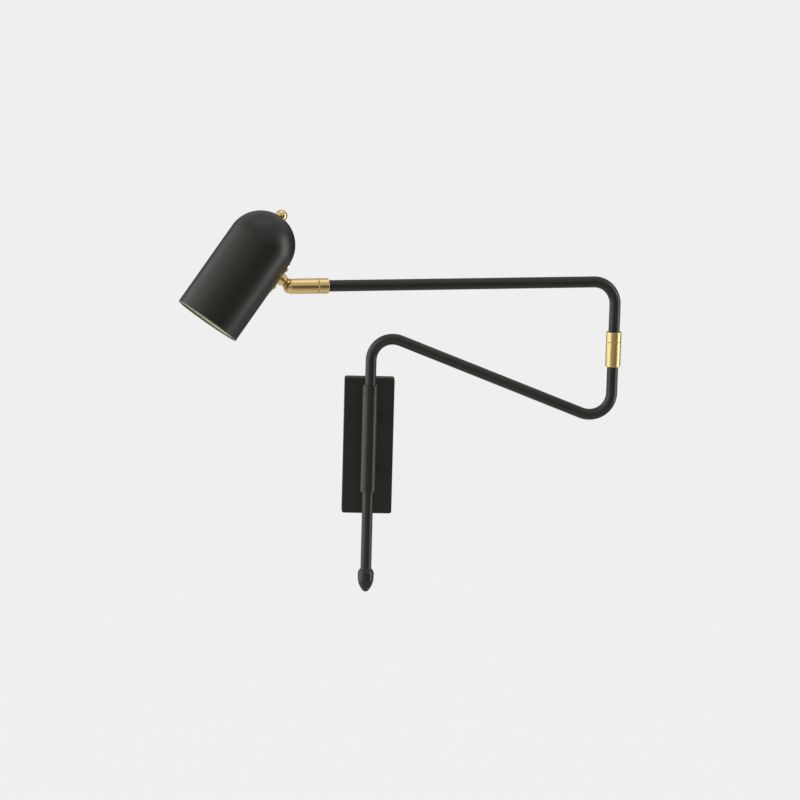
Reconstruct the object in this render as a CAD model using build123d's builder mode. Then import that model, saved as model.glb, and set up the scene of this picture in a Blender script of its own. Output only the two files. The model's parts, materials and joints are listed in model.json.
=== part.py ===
from build123d import *

import os
from math import asin, cos, degrees, radians, sin, sqrt

# Articulating wall lamp. A slim wall plate carries an upright sleeve. A bent tube turns in the
# sleeve and carries a brass elbow. A second bent tube turns on the elbow and ends in a brass
# swivel with a knuckle, which holds a bullet shade with a small brass switch knob on its top.
#
# Millimetres, +Z up, the wall is the plane y = 0 and the room is on the -Y side. The origin is
# the centre of the two wall-screw holes, on the back plane of the wall bracket.

# ------------------------------------------------------------------ driving sizes: wall mount
plate_width = 55.6
plate_height = 153.7
plate_depth = 12.5
plate_wall = 1.5
plate_corner = 2.5
plate_edge_round = 0.7

bracket_width = 34.0
bracket_thickness = 2.0
bracket_lip = 7.0
wall_screw_spacing = 120.0
wall_screw_radius = 2.25
cable_hole_radius = 8.0
cable_hole_z = -42.0
plate_screw_radius = 1.5
plate_screw_depth = 6.0

rod_stand_off = 45.0
post_radius = 6.0
post_bore_radius = 3.25
post_spacing = 56.0
post_middle_z = 7.0
nipple_radius = 4.0
nipple_bore_radius = 2.6
nipple_grip = 7.5
post_screw_radius = 2.5
post_screw_grip = 9.0
post_washer_radius = 7.0
post_washer_thickness = 1.2
post_nut_thickness = 3.0
post_nut_across = 12.0

sleeve_radius = 8.5
sleeve_wall = 1.25
sleeve_bottom_z = -45.1
sleeve_length = 110.6
bush_length = 16.0
bush_flange = 0.6
bush_flange_radius = 7.8

terminal_width = 18.0
terminal_height = 22.0
terminal_depth = 7.6
terminal_poles = 3
terminal_hole_radius = 2.0
terminal_hole_depth = 2.5
earth_screw_radius = 2.0
earth_screw_z = -24.0
earth_screw_x = 10.0

# ------------------------------------------------------------------ driving sizes: arms
tube_radius = 6.0
tube_wall = 1.2
bend_radius = 25.0
wire_radius = 1.6
wire_bend_radius = 4.5

rod_bottom_z = -132.5
shoulder_corner_z = 136.2
low_corner_z = 47.2
lower_reach = 266.8
lower_yaw = 14.0
arm_z = 203.2
upper_yaw = 15.0
shoulder_travel = 180.0

shoulder_collar_radius = 8.5
shoulder_collar_length = 8.2
shoulder_collar_round = 2.3
grub_radius = 1.5

finial_radius = 8.6
finial_waist = 8.3
finial_cap_fullness = 0.955
finial_nose_length = 17.5
finial_nose_fullness = 0.80
finial_tip_radius = 2.3
finial_bulge_share = 0.6
finial_spigot_length = 10.0

window_half_height = 3.0
window_overrun = 2.3
stop_ring_height = 6.0
stop_ring_thickness = 1.05
stop_screw_z = 7.0

# ------------------------------------------------------------------ driving sizes: brass swivels
brass_radius = 8.1
elbow_seam_z = 137.6
elbow_barrel_length = 26.6
elbow_thread_depth = 14.0
head_seam_reach = 332.2
collar_length = 11.0
collar_floor = 2.5
collar_tube_gap = 7.0
brass_edge_round = 0.45
spindle_radius = 4.5
spindle_bore_radius = 3.0
spindle_depth = 9.5
spindle_rise = 6.6
joint_nut_radius = 5.6
joint_nut_thickness = 3.2
joint_washer = 0.3
joint_washer_radius = 5.5
stop_pin_radius = 0.75
stop_pin_ring = 6.6
stop_pin_rise = 1.1
stop_pin_depth = 4.0
stop_groove_depth = 1.5
stop_travel = 330.0

# ------------------------------------------------------------------ driving sizes: knuckle and shade
pivot_from_seam = 28.6
slot_width = 5.0
slot_behind_pivot = 7.0
head_roll = 2.7
head_tilt = 35.9
tongue_thickness = 4.2
tongue_radius = 5.0
tongue_length = 9.2
boss_radius = 6.5
boss_step_radius = 5.6
boss_step = 1.6
knuckle_bore_radius = 1.9
knuckle_thread_radius = 4.0
tongue_window = 3.4
pivot_off_wall = 16.2
tilt_screw_radius = 2.0
tilt_head_radius = 3.4
tilt_head_height = 2.0
tilt_head_recess = 2.4
tilt_screw_skin = 1.8
tilt_washer_radius = 4.4
tilt_washer_thickness = 0.3

saddle_length = 37.0
saddle_width = 15.0
saddle_thickness = 1.2
saddle_screw_spacing = 21.5
saddle_screw_radius = 1.5
saddle_nut_thickness = 2.4
saddle_nut_across = 5.5
knuckle_nut_thickness = 2.6
knuckle_nut_across = 11.0

shade_radius = 35.8
shade_wall = 1.2
shade_barrel_length = 96.6
shade_rim_round = 0.4
knuckle_below_dome = 16.0
lamp_face_below_dome = 71.0

lamp_length = 54.0
lamp_face_radius = 25.0
lamp_neck_radius = 12.0
lamp_shoulder_radius = 15.0
lamp_base_length = 13.0
lamp_rim_length = 5.0
lens_radius = 22.6
lens_thickness = 2.0
lens_recess = 1.0
lamp_pin_radius = 2.4
lamp_pin_length = 7.0
lamp_pin_spacing = 10.0
holder_radius = 14.0
holder_height = 16.0
holder_gap = 0.3
strap_width = 12.0
strap_thickness = 1.2
strap_below_apex = 5.0
strap_overlap = 10.0
holder_screw_radius = 1.5
holder_screw_length = 5.0
lead_radius = 1.0

switch_radius = 9.5
switch_height = 18.0
switch_neck_radius = 4.0
switch_neck_rise = 1.6
switch_nut_radius = 5.0
switch_nut_thickness = 1.5
spacer_radius = 8.0
knob_radius = 6.25
knob_centre_rise = 1.25
knob_gap = 0.35
knob_recess_radius = 5.5
knob_recess_depth = 1.75
shaft_radius = 2.5
shaft_grip = 3.5
shaft_depth = 12.0

# ------------------------------------------------------------------ clearances and small heads
running = 0.05
fixed = 0.02
seat = 0.3
thread_clearance = 0.1
small_head_height = 1.8
small_head_radius = 2.75
screw_head_round = 0.45
slot_depth = 0.8
screw_slot_width = 0.8
same_radius = 1e-4
stop_margin_angle = 0.5
hex_corner_per_flat = 1 / sqrt(3)

# ------------------------------------------------------------------ places worked out from the sizes
up = Vector(0, 0, 1)
tube_bore_radius = tube_radius - tube_wall
sleeve_bore_radius = sleeve_radius - sleeve_wall
sleeve_top_z = sleeve_bottom_z + sleeve_length
collar_bottom_z = sleeve_top_z + bush_flange + running
upper_post_z = post_middle_z + post_spacing / 2
lower_post_z = post_middle_z - post_spacing / 2
plate_inner_y = -(plate_depth - plate_wall)

rod_foot = Vector(0, -rod_stand_off, 0)
lower_dir = Vector(cos(radians(lower_yaw)), -sin(radians(lower_yaw)), 0)
upper_dir = Vector(-cos(radians(upper_yaw)), -sin(radians(upper_yaw)), 0)
lower_plane = Plane(origin=rod_foot, x_dir=lower_dir, z_dir=lower_dir.cross(up))
elbow_foot = rod_foot + lower_dir * lower_reach
upper_plane = Plane(origin=elbow_foot, x_dir=upper_dir, z_dir=upper_dir.cross(up))

# Each swivel is described on its seam plane, whose normal points from the barrel to the collar.
elbow_seam = Plane(origin=elbow_foot + up * elbow_seam_z, x_dir=upper_dir, z_dir=up)
elbow_pin_plane = Plane(origin=elbow_foot + up * elbow_seam_z, x_dir=-lower_dir, z_dir=up)
head_seam_point = elbow_foot + up * arm_z + upper_dir * head_seam_reach
head_up = up * cos(radians(head_roll)) + upper_dir.cross(up) * sin(radians(head_roll))
head_seam = Plane(origin=head_seam_point, x_dir=up, z_dir=-upper_dir)
head_pin_plane = Plane(origin=head_seam_point, x_dir=-head_up, z_dir=-upper_dir)

hinge_dir = upper_dir.cross(head_up)
pivot = head_seam_point + upper_dir * pivot_from_seam
reach_dir = upper_dir * cos(radians(head_tilt)) + head_up * sin(radians(head_tilt))
shade_dir = head_up * cos(radians(head_tilt)) - upper_dir * sin(radians(head_tilt))
head_plane = Plane(origin=pivot, x_dir=reach_dir, z_dir=hinge_dir)
barrel_plane = Plane(origin=pivot, x_dir=upper_dir, z_dir=hinge_dir)

shade_knuckle_height = shade_barrel_length - knuckle_below_dome
lamp_recess = shade_barrel_length - lamp_face_below_dome
shade_axis_reach = pivot_off_wall + shade_radius
mouth = pivot + reach_dir * shade_axis_reach - shade_dir * shade_knuckle_height
shade_section = Plane(origin=mouth, x_dir=reach_dir, z_dir=hinge_dir)
shade_axis = Axis(mouth, shade_dir)
shade_bore_radius = shade_radius - shade_wall
apex_height = shade_barrel_length + shade_radius
saddle_outer_radius = shade_radius + saddle_thickness


def out_from_wall(distance, z):
    """Plane parallel to the wall that faces the room, centred on the plate's middle line."""
    return Plane(origin=(0, -distance, z), x_dir=(1, 0, 0), z_dir=(0, -1, 0))


def across_shade(height):
    """Plane square to the shade's axis, a height above the mouth, x pointing away from the arm."""
    return Plane(origin=mouth + shade_dir * height, x_dir=reach_dir, z_dir=shade_dir)


def towards_pivot(distance, height=0.0):
    """Plane that looks from the shade's axis towards the pivot, at a distance from that axis."""
    point = pivot + reach_dir * (shade_axis_reach - distance) + shade_dir * height
    return Plane(origin=point, x_dir=shade_dir, z_dir=-reach_dir)


def add_tube(plane, outer, inner, height, mode=Mode.ADD):
    """Add or cut a round tube, or a disc when inner is 0, that stands on a plane."""
    with BuildSketch(plane) as ring:
        Circle(outer)
        if inner:
            Circle(inner, mode=Mode.SUBTRACT)
    extrude(ring.sketch, amount=height, mode=mode)


def add_box(plane, width, height, depth, mode=Mode.ADD):
    """Add or cut a block that stands on a plane."""
    with BuildSketch(plane) as outline:
        Rectangle(width, height)
    extrude(outline.sketch, amount=depth, mode=mode)


def add_hex_nut(plane, across, hole, height):
    """Add a hexagon nut that stands on a plane."""
    with BuildSketch(plane) as outline:
        RegularPolygon(across / 2, 6, major_radius=False)
        Circle(hole, mode=Mode.SUBTRACT)
    extrude(outline.sketch, amount=height)


def add_screw(plane, head_radius, head_height, shank_radius, shank_length):
    """Add a slotted pan-head screw: head above the plane, shank below it."""
    add_tube(plane, head_radius, 0, head_height)
    top = Plane(origin=plane.origin + plane.z_dir * head_height, x_dir=plane.x_dir, z_dir=plane.z_dir)
    fillet(faces().sort_by(Axis(plane.origin, plane.z_dir))[-1].edges(),
           head_height * screw_head_round)
    add_tube(plane, shank_radius, 0, -shank_length)
    add_box(top, 2 * head_radius, screw_slot_width, -slot_depth, mode=Mode.SUBTRACT)


def round_outer_edges(radius, amount):
    """Round every circular edge that has the given radius."""
    rims = edges().filter_by(GeomType.CIRCLE).filter_by(
        lambda edge: abs(edge.radius - radius) < same_radius)
    fillet(rims, amount)


def add_swivel_collar(seam):
    """Collar half of a swivel. Its stop groove leaves a web on the seam plane's x axis."""
    add_tube(seam.offset(joint_washer), brass_radius, tube_radius + fixed, collar_length - joint_washer)
    add_tube(seam.offset(joint_washer), tube_radius + fixed, spindle_radius + running, collar_floor)
    pin_half_angle = degrees(asin(stop_pin_radius / stop_pin_ring))
    web_half_angle = (360 - stop_travel) / 2 - pin_half_angle - stop_margin_angle
    far_x = 2 * brass_radius * cos(radians(web_half_angle))
    far_y = 2 * brass_radius * sin(radians(web_half_angle))
    with BuildSketch(seam.offset(joint_washer)) as groove:
        Circle(stop_pin_ring + stop_pin_radius + thread_clearance)
        Circle(stop_pin_ring - stop_pin_radius - thread_clearance, mode=Mode.SUBTRACT)
        with BuildLine():
            Polyline((0, 0), (far_x, far_y), (far_x, -far_y), close=True)
        make_face(mode=Mode.SUBTRACT)
    extrude(groove.sketch, amount=stop_groove_depth, mode=Mode.SUBTRACT)
    round_outer_edges(brass_radius, brass_edge_round)


def add_stop_pin(pin_plane):
    """Pin in the barrel's end that runs in the collar's groove and ends its travel."""
    seat_plane = pin_plane.offset(-stop_pin_depth)
    point = seat_plane.origin + seat_plane.x_dir * stop_pin_ring
    own_plane = Plane(origin=point, x_dir=seat_plane.x_dir, z_dir=seat_plane.z_dir)
    add_tube(own_plane, stop_pin_radius, 0, stop_pin_depth + joint_washer + stop_pin_rise)


def cut_pin_hole(pin_plane):
    """Blind hole for the stop pin in the barrel's end."""
    point = pin_plane.origin + pin_plane.x_dir * stop_pin_ring
    own_plane = Plane(origin=point, x_dir=pin_plane.x_dir, z_dir=pin_plane.z_dir)
    add_tube(own_plane, stop_pin_radius + fixed, 0, -stop_pin_depth, mode=Mode.SUBTRACT)


def add_grub_screw(centre, outward, outer, inner):
    """Headless screw that runs radially between two radii of a round part."""
    plane = Plane(origin=centre + outward * inner, z_dir=outward)
    add_tube(plane, grub_radius, 0, outer - inner)
    end = Plane(origin=centre + outward * outer, x_dir=plane.x_dir, z_dir=outward)
    add_box(end, 2 * grub_radius, screw_slot_width, -slot_depth, mode=Mode.SUBTRACT)


def cut_grub_hole(centre, outward, outer):
    """Tapped hole for a headless screw, from a round part's axis outwards."""
    plane = Plane(origin=centre, z_dir=outward)
    add_tube(plane, grub_radius + fixed, 0, outer, mode=Mode.SUBTRACT)


os.makedirs("parts", exist_ok=True)

# ================================================================== wall mount
# Formed steel bracket: a flat web on the wall and a lip at each end for the plate's screws.
bracket_height = plate_height - 2 * plate_wall - 2 * seat
plate_screw_y = -(bracket_thickness + bracket_lip / 2)
with BuildPart() as wall_bracket:
    with BuildSketch(Plane.XZ):
        Rectangle(bracket_width, bracket_height)
        with GridLocations(0, wall_screw_spacing, 1, 2):
            Circle(wall_screw_radius, mode=Mode.SUBTRACT)
        with Locations((0, cable_hole_z)):
            Circle(cable_hole_radius, mode=Mode.SUBTRACT)
        with Locations((earth_screw_x, earth_screw_z)):
            Circle(earth_screw_radius + fixed, mode=Mode.SUBTRACT)
    extrude(amount=bracket_thickness)
    with BuildSketch(Plane.XZ.offset(bracket_thickness)):
        with GridLocations(0, bracket_height - bracket_thickness, 1, 2):
            Rectangle(bracket_width, bracket_thickness)
    extrude(amount=bracket_lip)
    with BuildSketch(Plane.XY.offset(-plate_height / 2)):
        with Locations((0, plate_screw_y)):
            Circle(plate_screw_radius + fixed)
    extrude(amount=plate_height, mode=Mode.SUBTRACT)
wall_bracket.part.label = "wall_bracket"
export_step(wall_bracket.part, "parts/wall_bracket.step")

# Pressed steel plate: a shallow tray, open towards the wall.
with BuildPart() as backplate:
    with BuildSketch(Plane.XZ):
        RectangleRounded(plate_width, plate_height, plate_corner)
    extrude(amount=plate_depth)
    fillet(faces().sort_by(Axis.Y)[0].edges(), plate_edge_round)
    with BuildSketch(Plane.XZ):
        RectangleRounded(plate_width - 2 * plate_wall, plate_height - 2 * plate_wall,
                         plate_corner - plate_wall)
    extrude(amount=plate_depth - plate_wall, mode=Mode.SUBTRACT)
    with BuildSketch(Plane.XZ):
        with Locations((0, upper_post_z)):
            Circle(nipple_radius + thread_clearance)
        with Locations((0, lower_post_z)):
            Circle(post_screw_radius + thread_clearance)
    extrude(amount=plate_depth, mode=Mode.SUBTRACT)
    with BuildSketch(Plane.XY.offset(-plate_height / 2)):
        with Locations((0, plate_screw_y)):
            Circle(plate_screw_radius + thread_clearance)
    extrude(amount=plate_height, mode=Mode.SUBTRACT)
backplate.part.label = "backplate"
export_step(backplate.part, "parts/backplate.step")

with BuildPart() as plate_screws:
    for side in (1, -1):
        end_plane = Plane(origin=(0, plate_screw_y, side * plate_height / 2), z_dir=up * side)
        with BuildPart(mode=Mode.PRIVATE) as one_plate_screw:
            add_screw(end_plane, small_head_radius, small_head_height, plate_screw_radius,
                      plate_screw_depth)
        add(one_plate_screw.part)
plate_screws.part.label = "plate_screws"
export_step(plate_screws.part, "parts/plate_screws.step")

# Two posts hold the sleeve off the plate. The upper one is hollow and lets the lead through.
sleeve_cut_radius = sleeve_radius + fixed
with BuildPart() as upper_post:
    add_tube(out_from_wall(plate_depth, upper_post_z), post_radius, 0,
             rod_stand_off - plate_depth)
    add_tube(Plane(origin=rod_foot + up * sleeve_bottom_z), sleeve_cut_radius, 0, sleeve_length,
             mode=Mode.SUBTRACT)
    add_tube(out_from_wall(0, upper_post_z), post_bore_radius, 0, rod_stand_off,
             mode=Mode.SUBTRACT)
    add_tube(out_from_wall(0, upper_post_z), nipple_radius + fixed, 0,
             plate_depth + nipple_grip + seat, mode=Mode.SUBTRACT)
upper_post.part.label = "upper_post"
export_step(upper_post.part, "parts/upper_post.step")

with BuildPart() as lower_post:
    add_tube(out_from_wall(plate_depth, lower_post_z), post_radius, 0,
             rod_stand_off - plate_depth)
    add_tube(Plane(origin=rod_foot + up * sleeve_bottom_z), sleeve_cut_radius, 0, sleeve_length,
             mode=Mode.SUBTRACT)
    add_tube(out_from_wall(0, lower_post_z), post_screw_radius + fixed, 0,
             plate_depth + post_screw_grip + seat, mode=Mode.SUBTRACT)
lower_post.part.label = "lower_post"
export_step(lower_post.part, "parts/lower_post.step")

washer_front_y = plate_inner_y + post_washer_thickness
with BuildPart() as post_washers:
    for post_z, hole_radius in ((upper_post_z, nipple_radius), (lower_post_z, post_screw_radius)):
        washer_plane = out_from_wall(-washer_front_y, post_z)
        add_tube(washer_plane, post_washer_radius, hole_radius + thread_clearance,
                 post_washer_thickness)
post_washers.part.label = "post_washers"
export_step(post_washers.part, "parts/post_washers.step")

# Hollow threaded nipple that clamps the upper post to the plate.
nipple_back_y = washer_front_y + post_nut_thickness + seat
with BuildPart() as post_nipple:
    add_tube(out_from_wall(-nipple_back_y, upper_post_z), nipple_radius,
             nipple_bore_radius, plate_depth + nipple_grip + nipple_back_y)
post_nipple.part.label = "post_nipple"
export_step(post_nipple.part, "parts/post_nipple.step")

nut_back_y = washer_front_y + post_nut_thickness
with BuildPart() as post_nut:
    add_hex_nut(out_from_wall(-nut_back_y, upper_post_z), post_nut_across,
                nipple_radius + fixed, post_nut_thickness)
post_nut.part.label = "post_nut"
export_step(post_nut.part, "parts/post_nut.step")

with BuildPart() as post_screw:
    add_screw(Plane(origin=(0, washer_front_y, lower_post_z), z_dir=(0, 1, 0)),
              2 * post_screw_radius, post_nut_thickness, post_screw_radius,
              plate_depth + post_screw_grip + washer_front_y)
post_screw.part.label = "post_screw"
export_step(post_screw.part, "parts/post_screw.step")

# Upright sleeve that the arm turns in.
with BuildPart() as pivot_sleeve:
    add_tube(Plane(origin=rod_foot + up * sleeve_bottom_z), sleeve_radius, sleeve_bore_radius,
             sleeve_length)
    round_outer_edges(sleeve_radius, plate_edge_round)
    add_tube(out_from_wall(0, upper_post_z), post_bore_radius, 0, rod_stand_off,
             mode=Mode.SUBTRACT)
    cut_grub_hole(rod_foot + up * stop_screw_z, Vector(0, 1, 0), 2 * sleeve_radius)
pivot_sleeve.part.label = "pivot_sleeve"
export_step(pivot_sleeve.part, "parts/pivot_sleeve.step")

bush_radius = sleeve_bore_radius - fixed
with BuildPart() as upper_bush:
    add_tube(Plane(origin=rod_foot + up * (sleeve_top_z - bush_length)), bush_radius,
             tube_radius + running, bush_length)
    add_tube(Plane(origin=rod_foot + up * sleeve_top_z), bush_flange_radius,
             tube_radius + running, bush_flange)
upper_bush.part.label = "upper_bush"
export_step(upper_bush.part, "parts/upper_bush.step")

with BuildPart() as lower_bush:
    add_tube(Plane(origin=rod_foot + up * sleeve_bottom_z), bush_radius, tube_radius + running,
             bush_length)
lower_bush.part.label = "lower_bush"
export_step(lower_bush.part, "parts/lower_bush.step")

# Screw that reaches through the sleeve's back and ends the arm's swing.
stop_screw_inner = tube_radius + seat
with BuildPart() as swing_stop_screw:
    add_grub_screw(rod_foot + up * stop_screw_z, Vector(0, 1, 0), sleeve_radius, stop_screw_inner)
swing_stop_screw.part.label = "swing_stop_screw"
export_step(swing_stop_screw.part, "parts/swing_stop_screw.step")

# Terminal block on the bracket's web, with a row of clamp-screw holes and lead holes.
terminal_middle_z = post_middle_z
terminal_front_y = -(bracket_thickness + terminal_depth)
pole_pitch = terminal_width / terminal_poles
with BuildPart() as terminal_block:
    add_box(out_from_wall(bracket_thickness, terminal_middle_z),
            terminal_width, terminal_height, terminal_depth)
    with BuildSketch(out_from_wall(-terminal_front_y, terminal_middle_z)):
        with GridLocations(pole_pitch, terminal_height / 2, terminal_poles, 2):
            Circle(terminal_hole_radius)
    extrude(amount=-terminal_hole_depth, mode=Mode.SUBTRACT)
    fillet(edges().filter_by(Axis.Y), plate_edge_round)
terminal_block.part.label = "terminal_block"
export_step(terminal_block.part, "parts/terminal_block.step")

with BuildPart() as earth_screw:
    add_screw(Plane(origin=(earth_screw_x, -bracket_thickness, earth_screw_z), z_dir=(0, -1, 0)),
              2 * earth_screw_radius, small_head_height, earth_screw_radius, bracket_thickness)
earth_screw.part.label = "earth_screw"
export_step(earth_screw.part, "parts/earth_screw.step")

# Lead from the terminal block, through the upper post, to the window in the rod.
feed_wire_y = -(bracket_thickness + wire_radius + seat)
terminal_top_z = terminal_middle_z + terminal_height / 2
feed_end_y = -(rod_stand_off - wire_radius - seat)
with BuildPart() as feed_wire:
    with BuildLine() as feed_path:
        FilletPolyline((0, feed_wire_y, terminal_top_z), (0, feed_wire_y, upper_post_z),
                       (0, feed_end_y, upper_post_z), radius=wire_bend_radius)
    with BuildSketch(Plane(origin=feed_path.line @ 0, z_dir=feed_path.line % 0)):
        Circle(wire_radius)
    sweep()
feed_wire.part.label = "feed_wire"
export_step(feed_wire.part, "parts/feed_wire.step")

# ================================================================== lower arm
# One tube: the rod that turns in the sleeve, a bend, the falling run, a bend and the elbow stub.
lower_tube_end_z = elbow_seam_z - elbow_thread_depth - seat
with BuildPart() as lower_arm_tube:
    with BuildLine(lower_plane) as lower_path:
        FilletPolyline((0, rod_bottom_z), (0, shoulder_corner_z), (lower_reach, low_corner_z),
                       (lower_reach, lower_tube_end_z), radius=bend_radius)
    with BuildSketch(Plane(origin=lower_path.line @ 0, z_dir=lower_path.line % 0)):
        Circle(tube_radius)
        Circle(tube_bore_radius, mode=Mode.SUBTRACT)
    sweep()
    # The window for the lead is open on the side away from the arm.
    with BuildSketch(Plane(origin=rod_foot + up * (upper_post_z - window_half_height),
                           x_dir=lower_dir, z_dir=up)):
        with Locations((window_overrun, 0)):
            Rectangle(2 * tube_radius + window_overrun, 3 * tube_radius, align=(Align.MAX, Align.CENTER))
    extrude(amount=2 * window_half_height, mode=Mode.SUBTRACT)
lower_arm_tube.part.label = "lower_arm_tube"
export_step(lower_arm_tube.part, "parts/lower_arm_tube.step")

collar_screw_dir = -lower_plane.z_dir
collar_screw_z = collar_bottom_z + shoulder_collar_length / 2 - shoulder_collar_round / 2
with BuildPart() as shoulder_collar:
    add_tube(Plane(origin=rod_foot + up * collar_bottom_z), shoulder_collar_radius,
             tube_radius + fixed, shoulder_collar_length)
    top_rim = edges().filter_by(GeomType.CIRCLE).group_by(Axis.Z)[-1].sort_by(SortBy.RADIUS)[-1]
    fillet(top_rim, shoulder_collar_round)
    cut_grub_hole(rod_foot + up * collar_screw_z, collar_screw_dir, 2 * shoulder_collar_radius)
shoulder_collar.part.label = "shoulder_collar"
export_step(shoulder_collar.part, "parts/shoulder_collar.step")

with BuildPart() as collar_grub_screw:
    add_grub_screw(rod_foot + up * collar_screw_z, collar_screw_dir,
                   shoulder_collar_radius - seat, tube_radius + fixed)
collar_grub_screw.part.label = "collar_grub_screw"
export_step(collar_grub_screw.part, "parts/collar_grub_screw.step")

# Part ring on the rod that meets the stop screw at each end of the swing.
stop_ring_inner = tube_radius + fixed
stop_screw_half_angle = degrees(asin(grub_radius / stop_screw_inner))
stop_half_angle = 180 - shoulder_travel / 2 - stop_screw_half_angle - stop_margin_angle
with BuildPart() as swing_stop_ring:
    with BuildSketch(Plane(origin=rod_foot + up * (stop_screw_z - stop_ring_height / 2),
                           x_dir=lower_dir, z_dir=up)):
        with BuildLine():
            outer_arc = CenterArc((0, 0), stop_ring_inner + stop_ring_thickness, -stop_half_angle,
                                  2 * stop_half_angle)
            inner_arc = CenterArc((0, 0), stop_ring_inner, -stop_half_angle, 2 * stop_half_angle)
            Line(outer_arc @ 0, inner_arc @ 0)
            Line(outer_arc @ 1, inner_arc @ 1)
        make_face()
    extrude(amount=stop_ring_height)
swing_stop_ring.part.label = "swing_stop_ring"
export_step(swing_stop_ring.part, "parts/swing_stop_ring.step")

# Acorn at the rod's foot, with a spigot pressed into the tube.
waist_z = rod_bottom_z - finial_waist
finial_tip_z = waist_z - finial_nose_length
cap_point = (finial_radius * finial_cap_fullness, waist_z + finial_waist * finial_bulge_share)
nose_point = (finial_radius * finial_nose_fullness,
              waist_z - finial_nose_length * finial_bulge_share)
with BuildPart() as rod_finial:
    with BuildSketch(lower_plane):
        with BuildLine():
            ThreePointArc((finial_radius, waist_z), cap_point, (tube_radius, rod_bottom_z))
            Line((tube_radius, rod_bottom_z), (0, rod_bottom_z))
            Line((0, rod_bottom_z), (0, finial_tip_z))
            Line((0, finial_tip_z), (finial_tip_radius, finial_tip_z))
            ThreePointArc((finial_tip_radius, finial_tip_z), nose_point, (finial_radius, waist_z))
        make_face()
    revolve(axis=Axis(rod_foot, up))
    add_tube(Plane(origin=rod_foot + up * rod_bottom_z), tube_bore_radius - fixed, 0,
             finial_spigot_length)
rod_finial.part.label = "rod_finial"
export_step(rod_finial.part, "parts/rod_finial.step")

# Brass elbow, lower half: it holds the tube from below and the hollow spindle from above.
with BuildPart() as elbow_barrel:
    add_tube(elbow_seam, brass_radius, spindle_radius + fixed, -elbow_barrel_length)
    add_tube(elbow_seam.offset(-elbow_thread_depth), tube_radius + fixed, 0,
             -(elbow_barrel_length - elbow_thread_depth), mode=Mode.SUBTRACT)
    round_outer_edges(brass_radius, brass_edge_round)
    cut_pin_hole(elbow_pin_plane)
elbow_barrel.part.label = "elbow_barrel"
export_step(elbow_barrel.part, "parts/elbow_barrel.step")

with BuildPart() as elbow_spindle:
    add_tube(elbow_seam.offset(-spindle_depth), spindle_radius, spindle_bore_radius,
             spindle_depth + spindle_rise)
elbow_spindle.part.label = "elbow_spindle"
export_step(elbow_spindle.part, "parts/elbow_spindle.step")

nut_height = joint_washer + collar_floor + running
with BuildPart() as elbow_nut:
    add_tube(elbow_seam.offset(nut_height), joint_nut_radius, spindle_radius + fixed,
             joint_nut_thickness)
elbow_nut.part.label = "elbow_nut"
export_step(elbow_nut.part, "parts/elbow_nut.step")

with BuildPart() as elbow_washer:
    add_tube(elbow_seam, joint_washer_radius, spindle_radius + running, joint_washer - running)
elbow_washer.part.label = "elbow_washer"
export_step(elbow_washer.part, "parts/elbow_washer.step")

with BuildPart() as elbow_stop_pin:
    add_stop_pin(elbow_pin_plane)
elbow_stop_pin.part.label = "elbow_stop_pin"
export_step(elbow_stop_pin.part, "parts/elbow_stop_pin.step")

elbow_wire_z = elbow_seam_z + joint_washer / 2
with BuildPart() as lower_arm_wire:
    with BuildLine(lower_plane) as lower_wire_path:
        FilletPolyline((0, upper_post_z - wire_radius), (0, shoulder_corner_z),
                       (lower_reach, low_corner_z), (lower_reach, elbow_wire_z - seat / 2),
                       radius=bend_radius)
    with BuildSketch(Plane(origin=lower_wire_path.line @ 0, z_dir=lower_wire_path.line % 0)):
        Circle(wire_radius)
    sweep()
lower_arm_wire.part.label = "lower_arm_wire"
export_step(lower_arm_wire.part, "parts/lower_arm_wire.step")

# ================================================================== upper arm
upper_tube_start_z = elbow_seam_z + collar_tube_gap
upper_tube_end = head_seam_reach - collar_tube_gap
with BuildPart() as upper_arm_tube:
    with BuildLine(upper_plane) as upper_path:
        FilletPolyline((0, upper_tube_start_z), (0, arm_z), (upper_tube_end, arm_z),
                       radius=bend_radius)
    with BuildSketch(Plane(origin=upper_path.line @ 0, z_dir=upper_path.line % 0)):
        Circle(tube_radius)
        Circle(tube_bore_radius, mode=Mode.SUBTRACT)
    sweep()
upper_arm_tube.part.label = "upper_arm_tube"
export_step(upper_arm_tube.part, "parts/upper_arm_tube.step")

arm_screw_height = (collar_tube_gap + collar_length) / 2
arm_screws = (
    (elbow_seam.origin + up * arm_screw_height, upper_plane.z_dir),
    (head_seam.origin - upper_dir * arm_screw_height, upper_plane.z_dir),
)
with BuildPart() as elbow_collar:
    add_swivel_collar(elbow_seam)
    cut_grub_hole(*arm_screws[0], 2 * brass_radius)
elbow_collar.part.label = "elbow_collar"
export_step(elbow_collar.part, "parts/elbow_collar.step")

with BuildPart() as head_collar:
    add_swivel_collar(head_seam)
    cut_grub_hole(*arm_screws[1], 2 * brass_radius)
head_collar.part.label = "head_collar"
export_step(head_collar.part, "parts/head_collar.step")

with BuildPart() as arm_grub_screws:
    for screw_centre, screw_dir in arm_screws:
        with BuildPart(mode=Mode.PRIVATE) as one_arm_screw:
            add_grub_screw(screw_centre, screw_dir, brass_radius - fixed, tube_radius + fixed)
        add(one_arm_screw.part)
arm_grub_screws.part.label = "arm_grub_screws"
export_step(arm_grub_screws.part, "parts/arm_grub_screws.step")

head_wire_reach = head_seam_reach - joint_washer / 2
with BuildPart() as upper_arm_wire:
    with BuildLine(upper_plane) as upper_wire_path:
        FilletPolyline((0, elbow_wire_z + seat / 2), (0, arm_z), (head_wire_reach - seat / 2, arm_z),
                       radius=bend_radius)
    with BuildSketch(Plane(origin=upper_wire_path.line @ 0, z_dir=upper_wire_path.line % 0)):
        Circle(wire_radius)
    sweep()
upper_arm_wire.part.label = "upper_arm_wire"
export_step(upper_arm_wire.part, "parts/upper_arm_wire.step")

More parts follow.
